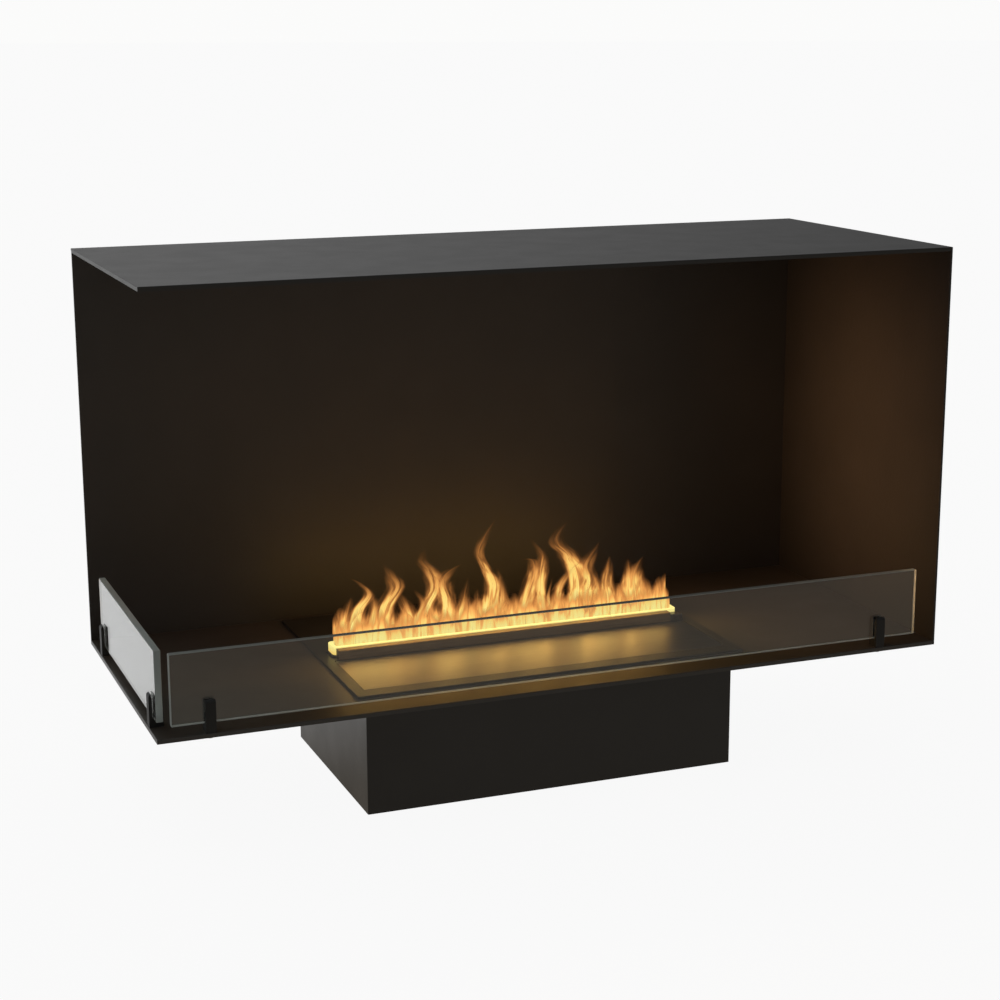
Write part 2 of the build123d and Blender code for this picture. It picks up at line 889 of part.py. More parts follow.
def fan_blade():
    root, tip = fan_hub_radius - fan_root_sink, fan_bore_radius - fan_tip_gap
    sections = []
    for radius, pitch in ((root, fan_root_pitch), (tip, fan_tip_pitch)):
        outline = Rectangle(fan_blade_chord, fan_blade_thickness)
        sections.append(Pos(radius, 0, 0) * Rot(0, 90, 0) * Rot(0, 0, pitch) * outline)
    return loft(sections)


def fan_rotor(x):
    middle = basin_back + fan_thickness - fan_plate - cap_gap - fan_hub_length / 2
    hub = Rot(90, 0, 0) * Cylinder(fan_hub_radius, fan_hub_length)
    rotor = fillet(hub.edges().group_by(Axis.Y)[0], edge_radius)
    for index in range(fan_blade_count):
        rotor = rotor + Rot(0, index * 360 / fan_blade_count, 0) * fan_blade()
    bore = Rot(90, 0, 0) * Cylinder(fan_shaft_radius + running_gap, fan_hub_length)
    bore = Pos(0, fan_nose, 0) * bore
    return Pos(x, middle, fan_level) * (rotor - bore)


# Water tank with its cover, filler neck, strainer, cap and level sensor.

def water_tank():
    outer = block(tank_left, tank_right, tank_front, tank_back, tank_low, tank_top)
    outer = fillet(outer.edges().filter_by(Axis.Z), 2 * tank_wall)
    wall = tank_wall
    inner = block(tank_left + wall, tank_right - wall, tank_front + wall, tank_back - wall,
                  tank_low + wall, tank_top)
    inner = fillet(inner.edges().filter_by(Axis.Z), tank_wall)
    drain_barb = rod_y(drain_x, drain_level, tank_back, tank_back + 2 * hose_radius, hose_bore)
    pump_barb = rod_x(neck_y, pump_level(), tank_right, tank_right + pump_gap, hose_bore)
    inset = 2 * tank_foot_radius
    feet = [rod_z(x, y, floor_top, tank_low, tank_foot_radius)
            for x in (tank_left + inset, tank_right - inset) for y in (tank_front + inset, tank_back - inset)]
    shape = join([outer - inner, drain_barb, pump_barb] + feet)
    bore = hose_bore / 2
    shape = shape - rod_y(drain_x, drain_level, tank_back - wall, tank_back + 2 * hose_radius, bore)
    return shape - rod_x(neck_y, pump_level(), tank_right - wall, tank_right + pump_gap, bore)


def tank_cover():
    plate = block(tank_left, tank_right, tank_front, tank_back, tank_top, cover_top)
    plate = fillet(plate.edges().filter_by(Axis.Z), 2 * tank_wall)
    shape = plate + rod_z(neck_x, neck_y, cover_top, neck_top, neck_radius)
    ledge_top = neck_top - cap_top
    shape = shape - rod_z(neck_x, neck_y, ledge_top, neck_top, neck_bore_radius)
    shape = shape - rod_z(neck_x, neck_y, tank_top, ledge_top, neck_bore_radius - strainer_ledge)
    return shape - rod_z(stem_x, neck_y, tank_top, cover_top, stem_radius)


def fill_strainer():
    top = neck_top - cap_top
    low = top - strainer_depth
    outer = neck_bore_radius - strainer_ledge - cap_gap
    inner = outer - strainer_wall
    collar = rod_z(neck_x, neck_y, top, top + strainer_wall, neck_bore_radius - cap_gap)
    shape = collar + rod_z(neck_x, neck_y, low, top, outer)
    shape = shape - rod_z(neck_x, neck_y, low + strainer_wall, top + strainer_wall, inner)
    for angle in (0, 45, 90, 135):
        slot = Box(2 * neck_radius, strainer_slot_width, strainer_depth / 2)
        shape = shape - Pos(neck_x, neck_y, low + strainer_depth / 3) * Rot(0, 0, angle) * slot
    return shape


def fill_cap():
    inner = neck_radius + cap_gap
    outer = inner + cap_wall
    low = neck_top - cap_skirt
    top = neck_top + cap_gap + cap_top
    shape = rod_z(neck_x, neck_y, low, top, outer)
    shape = shape - rod_z(neck_x, neck_y, low, neck_top + cap_gap, inner)
    grip_half = cap_grip_width / 2
    grip = block(neck_x - inner, neck_x + inner, neck_y - grip_half, neck_y + grip_half,
                 top, top + cap_grip_height)
    grip = fillet(grip.edges().filter_by(Axis.Y).group_by(Axis.Z)[-1], cap_grip_height / 2)
    return shape + grip


def float_stem():
    foot = tank_low + tank_wall + stem_foot
    stem = rod_z(stem_x, neck_y, foot, cover_top + stem_stop_height, stem_radius)
    stop = rod_z(stem_x, neck_y, foot, foot + stem_stop_height, stem_stop_radius)
    flange = rod_z(stem_x, neck_y, cover_top, cover_top + stem_stop_height, stem_stop_radius)
    return stem + stop + flange


def tank_float():
    low = tank_low + tank_wall + stem_foot + stem_stop_height
    ring = rod_z(stem_x, neck_y, low, low + float_height, float_radius)
    ring = fillet(ring.edges().group_by(Axis.Z)[0] + ring.edges().group_by(Axis.Z)[-1], 2 * edge_radius)
    return ring - rod_z(stem_x, neck_y, low, low + float_height, stem_radius + float_gap)


# Feed pump and hoses.

def pump_level():
    return floor_top + pump_radius


def pump_outlet_x():
    return tank_right + pump_gap + pump_head_length / 2


def feed_pump():
    x0 = tank_right + pump_gap
    x1 = x0 + pump_length
    level = pump_level()
    head = rod_x(neck_y, level, x0, x0 + pump_head_length, pump_radius)
    motor = rod_x(neck_y, level, x0 + pump_head_length, x1, pump_motor_radius)
    foot_top = floor_top + pump_radius - pump_motor_radius + pump_foot
    foot = block(x0, x1, neck_y - pump_radius, neck_y + pump_radius, floor_top, foot_top)
    outlet_top = level + pump_radius + 2 * hose_bore
    shape = head + motor + foot + rod_z(pump_outlet_x(), neck_y, level, outlet_top, hose_bore)
    return shape - rod_x(neck_y, level, x0, x0 + hose_radius, hose_bore)


def tube_along(points, outer, inner, bend):
    path = FilletPolyline(*points, radius=bend)
    start = Plane(origin=path @ 0, z_dir=path % 0)
    ring = start * (Circle(outer) - Circle(inner))
    return sweep(ring, path=path)


def delivery_hose():
    x = pump_outlet_x()
    low = pump_level() + pump_radius
    points = [(x, neck_y, low), (x, neck_y, feed_level), (x, basin_front + basin_wall, feed_level)]
    return tube_along(points, hose_radius, hose_bore, feed_bend)


def drain_hose():
    shape = rod_y(drain_x, drain_level, tank_back, inner_back, hose_radius)
    return shape - rod_y(drain_x, drain_level, tank_back, inner_back, hose_bore)


def drain_valve():
    flange_back = body_back + valve_flange
    valve_end = flange_back + valve_length
    spout_end = valve_end + spout_length
    middle = flange_back + valve_length / 2
    barb = rod_y(drain_x, drain_level, inner_back - spout_length, body_back, hose_bore)
    flange = rod_y(drain_x, drain_level, body_back, flange_back, valve_flange_radius)
    shell = rod_y(drain_x, drain_level, flange_back, valve_end, valve_radius)
    spout = rod_y(drain_x, drain_level, valve_end, spout_end, spout_radius)
    top = drain_level + valve_radius + valve_post_height
    post = rod_z(drain_x, middle, drain_level, top, valve_radius / 2)
    shape = barb + flange + shell + spout + post
    bore = rod_y(drain_x, drain_level, middle, spout_end, hose_bore)
    stem_room = rod_z(drain_x, middle, drain_level + hose_radius, top, handle_stem_radius + running_gap)
    return shape - bore - stem_room


def drain_handle():
    middle = body_back + valve_flange + valve_length / 2
    low = drain_level + hose_radius + cap_gap
    seat = drain_level + valve_radius + valve_post_height + cap_gap
    stem = rod_z(drain_x, middle, low, seat, handle_stem_radius)
    half = handle_width / 2
    blade = block(drain_x - half, drain_x + half, middle - half, middle + handle_length,
                  seat, seat + handle_thickness)
    return stem + fillet(blade.edges().filter_by(Axis.Z), handle_corner_radius)


# Air inlet in the back wall: slotted grille outside, filter pad inside.

def grille_window():
    half = grille_width / 2 - grille_margin
    low, high = grille_level + grille_margin, grille_level + grille_height - grille_margin
    return block(-half, half, inner_back, body_back, low, high)


def air_grille():
    half = grille_width / 2
    y0, y1 = body_back, body_back + grille_plate
    plate = block(-half, half, y0, y1, grille_level, grille_level + grille_height)
    plate = fillet(plate.edges().filter_by(Axis.Y), grille_margin / 2)
    low, high = grille_level + grille_margin, grille_level + grille_height - grille_margin
    count = int((grille_width - 2 * grille_margin) / grille_slot_pitch)
    width = grille_slot_width / 2
    slots = [block(x - width, x + width, y0, y1, low, high) for x in spread(0, grille_slot_pitch, count)]
    return cut(plate, slots)


def air_filter():
    half = grille_width / 2
    return block(-half, half, inner_back - filter_thickness, inner_back,
                 grille_level, grille_level + grille_height)


# Electrics in the rear bay and on the back wall.

def power_supply():
    x0 = inner_left + supply_from_left
    y1 = inner_back - rear_clearance
    case = block(x0, x0 + supply_length, y1 - supply_depth, y1, floor_top, floor_top + supply_height)
    case = chamfer(case.edges().group_by(Axis.Z)[-1], supply_chamfer)
    top = floor_top + supply_height
    slot_half = supply_depth / 2 - rear_clearance
    middle = y1 - supply_depth / 2
    count = int(supply_length / vent_pitch) - 1
    half = vent_width / 2
    slots = [block(x - half, x + half, middle - slot_half, middle + slot_half, top - vent_depth, top)
             for x in spread(x0 + supply_length / 2, vent_pitch, count)]
    return cut(case, slots)


def control_board():
    x0 = inner_left + supply_from_left + supply_length + supply_board_gap
    x1 = x0 + board_length
    y1 = inner_back - rear_clearance
    y0 = y1 - board_depth
    low = floor_top + board_level
    top = low + board_thickness
    board = block(x0, x1, y0, y1, low, top)
    inset = 2 * standoff_radius
    for x in (x0 + inset, x1 - inset):
        for y in (y0 + inset, y1 - inset):
            board = board + rod_z(x, y, floor_top, low, standoff_radius)
    middle = (y0 + y1) / 2
    chip_x, relay_x = x0 + chip_from_left, x0 + relay_from_left
    chip = block(chip_x, chip_x + chip_size, middle - chip_size / 2, middle + chip_size / 2,
                 top, top + board_thickness)
    relay = block(relay_x, relay_x + relay_length, middle - relay_depth / 2, middle + relay_depth / 2,
                  top, top + relay_height)
    cells = [rod_z(x, middle, top, top + capacitor_height, capacitor_radius)
             for x in spread(x0 + capacitor_from_left, capacitor_pitch, 2)]
    terminal_right = x1 - 2 * inset
    connector = block(terminal_right - terminal_length, terminal_right, y0, y0 + terminal_depth,
                      top, top + terminal_height)
    return join([board, chip, relay, connector] + cells)


def inlet_cutout():
    gap = hole_clearance
    half = inlet_width / 2 + gap
    return block(inlet_x - half, inlet_x + half, inner_back, body_back,
                 inlet_level - gap, inlet_level + inlet_height + gap)


def power_inlet():
    half = inlet_width / 2
    high = inlet_level + inlet_height
    front_y, back_y = body_back - inlet_depth, body_back + inlet_flange
    shell = block(inlet_x - half, inlet_x + half, front_y, back_y, inlet_level, high)
    middle = inlet_level + inlet_height / 2
    flange_half, flange_rise = inlet_flange_width / 2, inlet_flange_height / 2
    flange = block(inlet_x - flange_half, inlet_x + flange_half, body_back, back_y,
                   middle - flange_rise, middle + flange_rise)
    flange = fillet(flange.edges().filter_by(Axis.Y), socket_wall)
    wall = socket_wall
    socket = block(inlet_x - half + wall, inlet_x + half - wall, back_y - socket_depth, back_y,
                   inlet_level + wall, high - wall)
    socket = chamfer(socket.edges().filter_by(Axis.Y).group_by(Axis.Z)[-1], 2 * socket_wall)
    return (shell + flange) - socket


def inlet_contacts():
    y0 = body_back + inlet_flange - socket_depth
    middle = inlet_level + inlet_height / 2
    low = middle - contact_drop
    places = [(inlet_x - contact_spacing, low), (inlet_x + contact_spacing, low),
              (inlet_x, middle + earth_contact_rise)]
    half_x, half_z = contact_width / 2, contact_height / 2
    return [block(x - half_x, x + half_x, y0, y0 + contact_length, z - half_z, z + half_z) for x, z in places]


def switch_cutout():
    half = switch_width / 2 + hole_clearance
    return block(switch_x - half, switch_x + half, inner_back, body_back,
                 switch_level - hole_clearance, switch_level + switch_height + hole_clearance)


def switch_bezel():
    half = switch_width / 2
    y0, y1 = body_back - switch_depth, body_back + switch_flange
    rim = switch_flange
    shell = block(switch_x - half, switch_x + half, y0, y1, switch_level, switch_level + switch_height)
    flange = block(switch_x - half - rim, switch_x + half + rim, body_back, y1,
                   switch_level - rim, switch_level + switch_height + rim)
    wall = switch_wall
    room = block(switch_x - half + wall, switch_x + half - wall, y0 + wall, y1,
                 switch_level + wall, switch_level + switch_height - wall)
    pivot_radius = pin_radius + running_gap
    pivot = rod_x(rocker_pivot_y(), rocker_pivot_z(), switch_x - half, switch_x + half, pivot_radius)
    return (shell + flange) - room - pivot


def rocker_pivot_y():
    return body_back - rocker_depth


def rocker_pivot_z():
    return switch_level + switch_height / 2


def rocker():
    half = switch_width / 2 - switch_wall - rocker_gap
    reach = switch_height / 2 - switch_wall - rocker_gap
    face = rocker_depth + switch_flange
    spread_angle = math.tan(math.radians(rocker_tilt))
    foot, tip = reach - rocker_taper, reach - rocker_tip_taper
    high, low = face + reach * spread_angle / 2, face - reach * spread_angle / 2
    outline = Polyline((-foot, 0), (-tip, high), (0, low), (tip, high), (foot, 0), close=True)
    profile = Plane.YZ * Rot(0, 0, 90) * Rot(180, 0, 0) * make_face(outline)
    body = extrude(profile, half, both=True)
    body = body + rod_x(0, 0, -switch_width / 2, switch_width / 2, pin_radius)
    return Pos(switch_x, rocker_pivot_y(), rocker_pivot_z()) * Rot(rocker_tilt, 0, 0) * body


def wiring():
    supply_right = inner_left + supply_from_left + supply_length
    board_left = supply_right + supply_board_gap
    y = inner_back - rear_clearance - supply_depth / 2
    link_level = floor_top + board_level + board_thickness + wire_radius
    link = rod_x(y, link_level, supply_right, board_left + rear_clearance, wire_radius)
    inlet_front = body_back - inlet_depth
    middle = inlet_level + inlet_height / 2
    supply_top = floor_top + supply_height
    x = supply_right - 2 * rear_clearance
    lead_y = inlet_front - 2 * wire_bend
    lead = [(inlet_x, inlet_front, middle), (inlet_x, lead_y, middle),
            (x, lead_y, middle), (x, lead_y, supply_top)]
    lead_path = FilletPolyline(*lead, radius=wire_bend)
    lead_tube = sweep(Plane(origin=lead_path @ 0, z_dir=lead_path % 0) * Circle(wire_radius), path=lead_path)
    return [link, lead_tube]


# Button panel beside the tank, below the lid.

def button_places():
    y = (tank_front + tank_back) / 2
    return [(x, y) for x in spread(panel_middle, button_pitch, button_count)]


def button_panel():
    plate = block(panel_left, panel_right, tank_front, tank_back, panel_level, panel_top)
    plate = fillet(plate.edges().filter_by(Axis.Z), panel_leg_radius)
    inset = panel_leg_radius
    corners = [(x, y) for x in (panel_left + inset, panel_right - inset)
               for y in (tank_front + inset, tank_back - inset)]
    legs = [rod_z(x, y, floor_top, panel_level, panel_leg_radius) for x, y in corners]
    radius = button_radius + button_gap
    holes = [rod_z(x, y, panel_level, panel_top, radius) for x, y in button_places()]
    return cut(join([plate] + legs), holes)


def button(place):
    x, y = place
    flange_top = panel_level - button_flange_gap
    flange_low = flange_top - button_flange
    body = rod_z(x, y, flange_low, panel_top + button_rise, button_radius)
    body = fillet(body.edges().group_by(Axis.Z)[-1], edge_radius)
    flange = rod_z(x, y, flange_low, flange_top, button_radius + button_flange)
    stem = rod_z(x, y, flange_low - button_stem_length, flange_low, button_stem_radius)
    return body + flange + stem


def switch_board():
    stem_low = panel_level - button_flange_gap - button_flange - button_stem_length
    tact_top = stem_low - button_travel - cap_gap
    board_top = tact_top - tact_height
    board_low = board_top - board_thickness
    half_x, half_y = switch_board_length / 2, switch_board_depth / 2
    y = (tank_front + tank_back) / 2
    board = block(panel_middle - half_x, panel_middle + half_x, y - half_y, y + half_y, board_low, board_top)
    half = tact_size / 2
    for bx, by in button_places():
        board = board + block(bx - half, bx + half, by - half, by + half, board_top, tact_top)
    for a in (-1, 1):
        for b in (-1, 1):
            px, py = panel_middle + a * (half_x - board_post_radius), y + b * (half_y - board_post_radius)
            board = board + rod_z(px, py, board_top, panel_level, board_post_radius)
    return board


# Every piece, by the name that a person would use

save("top_panel", top_panel())
save("deck_panel", deck_panel())
save("back_panel", back_panel())
save("right_panel", right_panel())
save("nuts", *nuts())
save("corner_screws", *[countersunk_screw(x, z) for x, z in corner_screw_places()])
save("front_glass", front_glass())
save("left_glass", left_glass())
for name, place in clip_places().items():
    save(name, place * clip())
save("clip_liners", *[place * clip_liner() for place in clip_places().values()])
save("clip_screws", *clip_screws())

save("cassette_body", cassette_body())
save("trim_frame", trim_frame())
save("left_bracket", bracket(-1))
save("right_bracket", bracket(1))
save("bracket_screws", *bracket_screws())
save("fill_lid", fill_lid())
save("hinge_bosses", *hinge_bosses())
save("hinge_pins", *hinge_pins())
save("slot_bar", slot_bar())
save("receiver", receiver())
save("light_diffuser", light_diffuser())
save("led_strips", *led_strips())

save("mist_basin", mist_basin())
save("mist_nozzle", mist_nozzle())
save("transducers", *transducers())
save("transducer_rings", *transducer_rings())
save("driver_board", driver_board())
save("left_fan_housing", fan_housing(fan_left))
save("left_fan_rotor", fan_rotor(fan_left))
save("right_fan_housing", fan_housing(fan_right))
save("right_fan_rotor", fan_rotor(fan_right))

save("water_tank", water_tank())
save("tank_cover", tank_cover())
save("fill_strainer", fill_strainer())
save("fill_cap", fill_cap())
save("float_stem", float_stem())
save("tank_float", tank_float())
save("feed_pump", feed_pump())
save("delivery_hose", delivery_hose())
save("drain_hose", drain_hose())
save("drain_valve", drain_valve())
save("drain_handle", drain_handle())

save("air_grille", air_grille())
save("air_filter", air_filter())
save("power_supply", power_supply())
save("control_board", control_board())
save("power_inlet", power_inlet())
save("inlet_contacts", *inlet_contacts())
save("switch_bezel", switch_bezel())
save("rocker", rocker())
save("wiring", *wiring())
save("button_panel", button_panel())
save("switch_board", switch_board())
for name, place in zip(("flame_down_button", "power_button", "flame_up_button"), button_places()):
    save(name, button(place))
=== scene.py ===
import math
import random

import bmesh
import bpy
from mathutils import Matrix, Vector


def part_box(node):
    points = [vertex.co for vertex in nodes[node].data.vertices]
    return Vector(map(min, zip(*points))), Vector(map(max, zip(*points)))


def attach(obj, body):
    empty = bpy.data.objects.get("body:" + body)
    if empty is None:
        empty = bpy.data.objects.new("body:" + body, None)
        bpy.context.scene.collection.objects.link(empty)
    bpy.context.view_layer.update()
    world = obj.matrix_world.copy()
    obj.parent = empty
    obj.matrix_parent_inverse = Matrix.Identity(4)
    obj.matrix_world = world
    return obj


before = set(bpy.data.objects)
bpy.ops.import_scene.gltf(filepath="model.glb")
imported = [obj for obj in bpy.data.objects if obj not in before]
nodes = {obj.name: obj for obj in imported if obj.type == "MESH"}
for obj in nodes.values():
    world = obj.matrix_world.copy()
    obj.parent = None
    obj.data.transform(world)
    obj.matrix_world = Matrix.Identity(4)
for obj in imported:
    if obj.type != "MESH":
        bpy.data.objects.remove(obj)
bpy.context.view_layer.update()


# Camera. It stands where the photograph was taken from, left of the middle and above the top panel. Its
# place, turn and lens were found from the corners of the firebox.

camera_place = Vector((-0.9148, -2.3139, 0.9168))
camera_yaw = math.radians(21.255)
camera_pitch = math.radians(13.226)
camera_roll = math.radians(-0.176)
camera_lens = 73.1
sensor_width = 36.0
sight_reach = 100.0

forward = Vector((math.sin(camera_yaw) * math.cos(camera_pitch),
                  math.cos(camera_yaw) * math.cos(camera_pitch), -math.sin(camera_pitch)))
level_right = Vector((math.cos(camera_yaw), -math.sin(camera_yaw), 0.0))
level_up = level_right.cross(forward)
camera_right = math.cos(camera_roll) * level_right + math.sin(camera_roll) * level_up
camera_up = math.cos(camera_roll) * level_up - math.sin(camera_roll) * level_right
turn = Matrix((camera_right, camera_up, -forward)).transposed()

camera_data = bpy.data.cameras.new("photo_camera")
camera_data.lens = camera_lens
camera_data.sensor_width = sensor_width
camera_data.clip_end = sight_reach
camera = bpy.data.objects.new("photo_camera", camera_data)
camera.matrix_world = Matrix.Translation(camera_place) @ turn.to_4x4()
bpy.context.scene.collection.objects.link(camera)
bpy.context.scene.camera = camera
bpy.context.scene.view_settings.view_transform = "Standard"


# Studio. A pale floor and a white room that is brightest behind and above the fireplace and dim on the
# camera's side and at the right, so that satin black sheet shows its shape by soft reflections.

def add_node(tree, kind, settings=None, **sockets):
    made = tree.nodes.new(kind)
    for name, value in (settings or {}).items():
        setattr(made, name, value)
    for name, value in sockets.items():
        made.inputs[name.replace("_", " ")].default_value = value
    return made


def smooth_range(tree, value, from_low, from_high, to_low, to_high):
    settings = {"interpolation_type": "SMOOTHSTEP"}
    made = add_node(tree, "ShaderNodeMapRange", settings, From_Min=from_low, From_Max=from_high,
                    To_Min=to_low, To_Max=to_high)
    tree.links.new(value, made.inputs["Value"])
    return made.outputs["Result"]


def combine(tree, operation, first, second):
    made = tree.nodes.new("ShaderNodeMath")
    made.operation = operation
    for socket, value in zip(made.inputs, (first, second)):
        if isinstance(value, (int, float)):
            socket.default_value = value
        else:
            tree.links.new(value, socket)
    return made.outputs[0]


def split_axes(tree, vector):
    split = tree.nodes.new("ShaderNodeSeparateXYZ")
    tree.links.new(vector, split.inputs[0])
    return split.outputs


def color_ramp(tree, fac, *stops):
    ramp = tree.nodes.new("ShaderNodeValToRGB")
    elements = ramp.color_ramp.elements
    for element, (position, color) in zip(elements, (stops[0], stops[-1])):
        element.position = position
        element.color = (*color, 1.0)
    for position, color in stops[1:-1]:
        elements.new(position).color = (*color, 1.0)
    tree.links.new(fac, ramp.inputs[0])
    return ramp.outputs[0]


def any_ray(tree, first, *others):
    rays = tree.nodes.new("ShaderNodeLightPath")
    found = rays.outputs[first]
    for kind in others:
        found = combine(tree, "MAXIMUM", found, rays.outputs[kind])
    return found


def mix_shaders(tree, share, first, second):
    mix = tree.nodes.new("ShaderNodeMixShader")
    for socket, source in zip(mix.inputs, (share, first, second)):
        tree.links.new(source, socket)
    return mix.outputs[0]


room_front_level = 0.19
room_back_level = 0.74
room_back_band = (-0.35, 0.55)
room_right_share = 0.24
room_right_band = (0.05, 0.7)
room_overhead_level = 0.28
room_overhead_band = (0.35, 1.0)
room_white = (0.965, 0.965, 0.96, 1.0)

world = bpy.data.worlds.new("studio_room")
bpy.context.scene.world = world
world.use_nodes = True
room = world.node_tree
room.nodes.clear()
direction = split_axes(room, room.nodes.new("ShaderNodeTexCoord").outputs["Generated"])
behind = smooth_range(room, direction["Y"], *room_back_band, room_front_level, room_back_level)
sideways = smooth_range(room, direction["X"], *room_right_band, 1.0, room_right_share)
overhead = smooth_range(room, direction["Z"], *room_overhead_band, 0.0, room_overhead_level)
level = combine(room, "ADD", combine(room, "MULTIPLY", behind, sideways), overhead)
room_light = room.nodes.new("ShaderNodeBackground")
room.links.new(level, room_light.inputs["Strength"])
seen_white = add_node(room, "ShaderNodeBackground", Color=room_white)
seen = any_ray(room, "Is Camera Ray", "Is Transmission Ray")
room_mix = mix_shaders(room, seen, room_light.outputs[0], seen_white.outputs[0])
room_out = room.nodes.new("ShaderNodeOutputWorld")
room.links.new(room_mix, room_out.inputs["Surface"])

floor_half = 300.0
floor_mesh = bpy.data.meshes.new("studio_floor")
shape = bmesh.new()
bmesh.ops.create_grid(shape, x_segments=1, y_segments=1, size=floor_half)
shape.to_mesh(floor_mesh)
shape.free()
floor = bpy.data.objects.new("studio_floor", floor_mesh)
bpy.context.scene.collection.objects.link(floor)

# The fireplace mirrors the floor in front of it as dim and brown, and the floor behind it as white.
floor_color = (0.88, 0.88, 0.87, 1.0)
floor_white = (1.0, 1.0, 1.0, 1.0)
floor_white_share = 0.93
mirrored_front_color = (0.35, 0.31, 0.26)
mirrored_back_color = (0.95, 0.95, 0.95)
mirrored_band = (-0.1, 0.5)

pale_floor = bpy.data.materials.new("pale_floor")
pale_floor.use_nodes = True
paint = pale_floor.node_tree
paint.nodes.clear()
matt = add_node(paint, "ShaderNodeBsdfDiffuse", Color=floor_color)
white = add_node(paint, "ShaderNodeEmission", Strength=1.0)
spot = split_axes(paint, paint.nodes.new("ShaderNodeTexCoord").outputs["Object"])
depth = smooth_range(paint, spot["Y"], *mirrored_band, 0.0, 1.0)
mirrored = color_ramp(paint, depth, (0.0, mirrored_front_color), (1.0, mirrored_back_color))
in_mirror = any_ray(paint, "Is Glossy Ray")
look = add_node(paint, "ShaderNodeMix", {"data_type": "RGBA"}, A=floor_white)
paint.links.new(in_mirror, look.inputs["Factor"])
paint.links.new(mirrored, look.inputs["B"])
paint.links.new(look.outputs["Result"], white.inputs["Color"])
seen = any_ray(paint, "Is Camera Ray", "Is Transmission Ray")
share = combine(paint, "MAXIMUM", combine(paint, "MULTIPLY", seen, floor_white_share), in_mirror)
floor_mix = mix_shaders(paint, share, matt.outputs[0], white.outputs[0])
floor_out = paint.nodes.new("ShaderNodeOutputMaterial")
paint.links.new(floor_mix, floor_out.inputs["Surface"])
floor_mesh.materials.append(pale_floor)


# Casing. Folded sheet steel panels, powder coated satin black: a fine orange-peel skin, faint cloudy
# differences in gloss, and the hems and flanges in one piece with each panel. The screws that hold the rear
# corner are coated with them.

# Most of a noise pattern's values lie between these two.
pattern_low = 0.3
pattern_high = 0.7


def start_finish(name, color, roughness, **sockets):
    finish = bpy.data.materials.new(name)
    finish.use_nodes = True
    shader = finish.node_tree.nodes["Principled BSDF"]
    shader.inputs["Base Color"].default_value = (*color, 1.0)
    shader.inputs["Roughness"].default_value = roughness
    for socket, value in sockets.items():
        shader.inputs[socket.replace("_", " ")].default_value = value
    return finish, finish.node_tree, shader


def noise_over(tree, place, stretch, scale, detail, distortion):
    mapping = add_node(tree, "ShaderNodeMapping", Scale=stretch)
    tree.links.new(place, mapping.inputs["Vector"])
    noise = add_node(tree, "ShaderNodeTexNoise", Scale=scale, Detail=detail, Distortion=distortion)
    tree.links.new(mapping.outputs[0], noise.inputs["Vector"])
    return noise.outputs["Fac"]


def pattern(tree, size, detail=2.0, stretch=(1.0, 1.0, 1.0), distortion=0.0):
    place = tree.nodes.new("ShaderNodeTexCoord").outputs["Object"]
    return noise_over(tree, place, stretch, 1.0 / size, detail, distortion)


def tint(tree, shader, fac, dark, light, low=pattern_low, high=pattern_high):
    color = color_ramp(tree, fac, (low, dark), (high, light))
    tree.links.new(color, shader.inputs["Base Color"])


def vary_gloss(tree, shader, fac, low, high):
    gloss = smooth_range(tree, fac, pattern_low, pattern_high, low, high)
    tree.links.new(gloss, shader.inputs["Roughness"])


def roughen(tree, shader, fac, height, before=None):
    bump = add_node(tree, "ShaderNodeBump", Strength=1.0, Distance=height)
    tree.links.new(fac, bump.inputs["Height"])
    if before is not None:
        tree.links.new(before, bump.inputs["Normal"])
    tree.links.new(bump.outputs[0], shader.inputs["Normal"])
    return bump.outputs[0]


def dress(finish, *names):
    for name in names:
        materials = nodes[name].data.materials
        materials.clear()
        materials.append(finish)


coat_cloud = 0.09
gloss_cloud = 0.05
# The orange peel's height as a share of its grain, and the size and height of the slower waves under it, in
# grains.
peel_rise = 0.09
wave_grains = 6
wave_rise = 0.12


def powder_coat(name, dark, light, gloss_low, gloss_high, grain):
    finish, tree, shader = start_finish(name, dark, gloss_low, Specular_IOR_Level=0.5)
    tint(tree, shader, pattern(tree, coat_cloud, 3.0), dark, light)
    vary_gloss(tree, shader, pattern(tree, gloss_cloud, 3.0), gloss_low, gloss_high)
    peel = roughen(tree, shader, pattern(tree, grain, 1.0), grain * peel_rise)
    roughen(tree, shader, pattern(tree, grain * wave_grains, 2.0), grain * wave_rise, peel)
    return finish


casing_grain = 0.0009
casing_finish = powder_coat("satin_black_powder_coat", (0.0125, 0.0123, 0.0120), (0.0150, 0.0146, 0.0142),
                            0.42, 0.45, casing_grain)
dress(casing_finish, "top_panel", "back_panel", "right_panel", "corner_screws")

# The deck has the casing's satin black coat. Its lighter, warmer colour here is painted glow of the flames
# and painted room light on it.
deck_painted_glow_finish = powder_coat("deck_powder_coat_painted_glow", (0.038, 0.0335, 0.0285), (0.046, 0.0405, 0.0345),
                          0.38, 0.42, casing_grain)
dress(deck_painted_glow_finish, "deck_panel")


# Fasteners. Zinc-plated steel: M4 nuts on the weld studs under the sheets, the screws of the glass clips
# and of the brackets, and the bosses and pins of the lid's hinge.

plating_spangle = 0.006
plating_cloud = 0.002
plating_grain = 0.0006
plating_height = 0.00004


def plated_steel(name, dark, light, roughness):
    finish, tree, shader = start_finish(name, light, roughness, Metallic=1.0)
    tint(tree, shader, pattern(tree, plating_spangle, 3.0, distortion=0.6), dark, light)
    vary_gloss(tree, shader, pattern(tree, plating_cloud, 2.0), roughness - 0.06, roughness + 0.1)
    roughen(tree, shader, pattern(tree, plating_grain, 1.0), plating_height)
    return finish


zinc_finish = plated_steel("bright_zinc_plate", (0.38, 0.39, 0.40), (0.60, 0.61, 0.62), 0.32)
dress(zinc_finish, "nuts", "clip_screws", "bracket_screws", "hinge_bosses", "hinge_pins")


# Glass guards. Two panes of clear 8 mm float glass with finely ground edges: the faces are polished, and
# the edges are matt and show the faint green of iron in the glass.

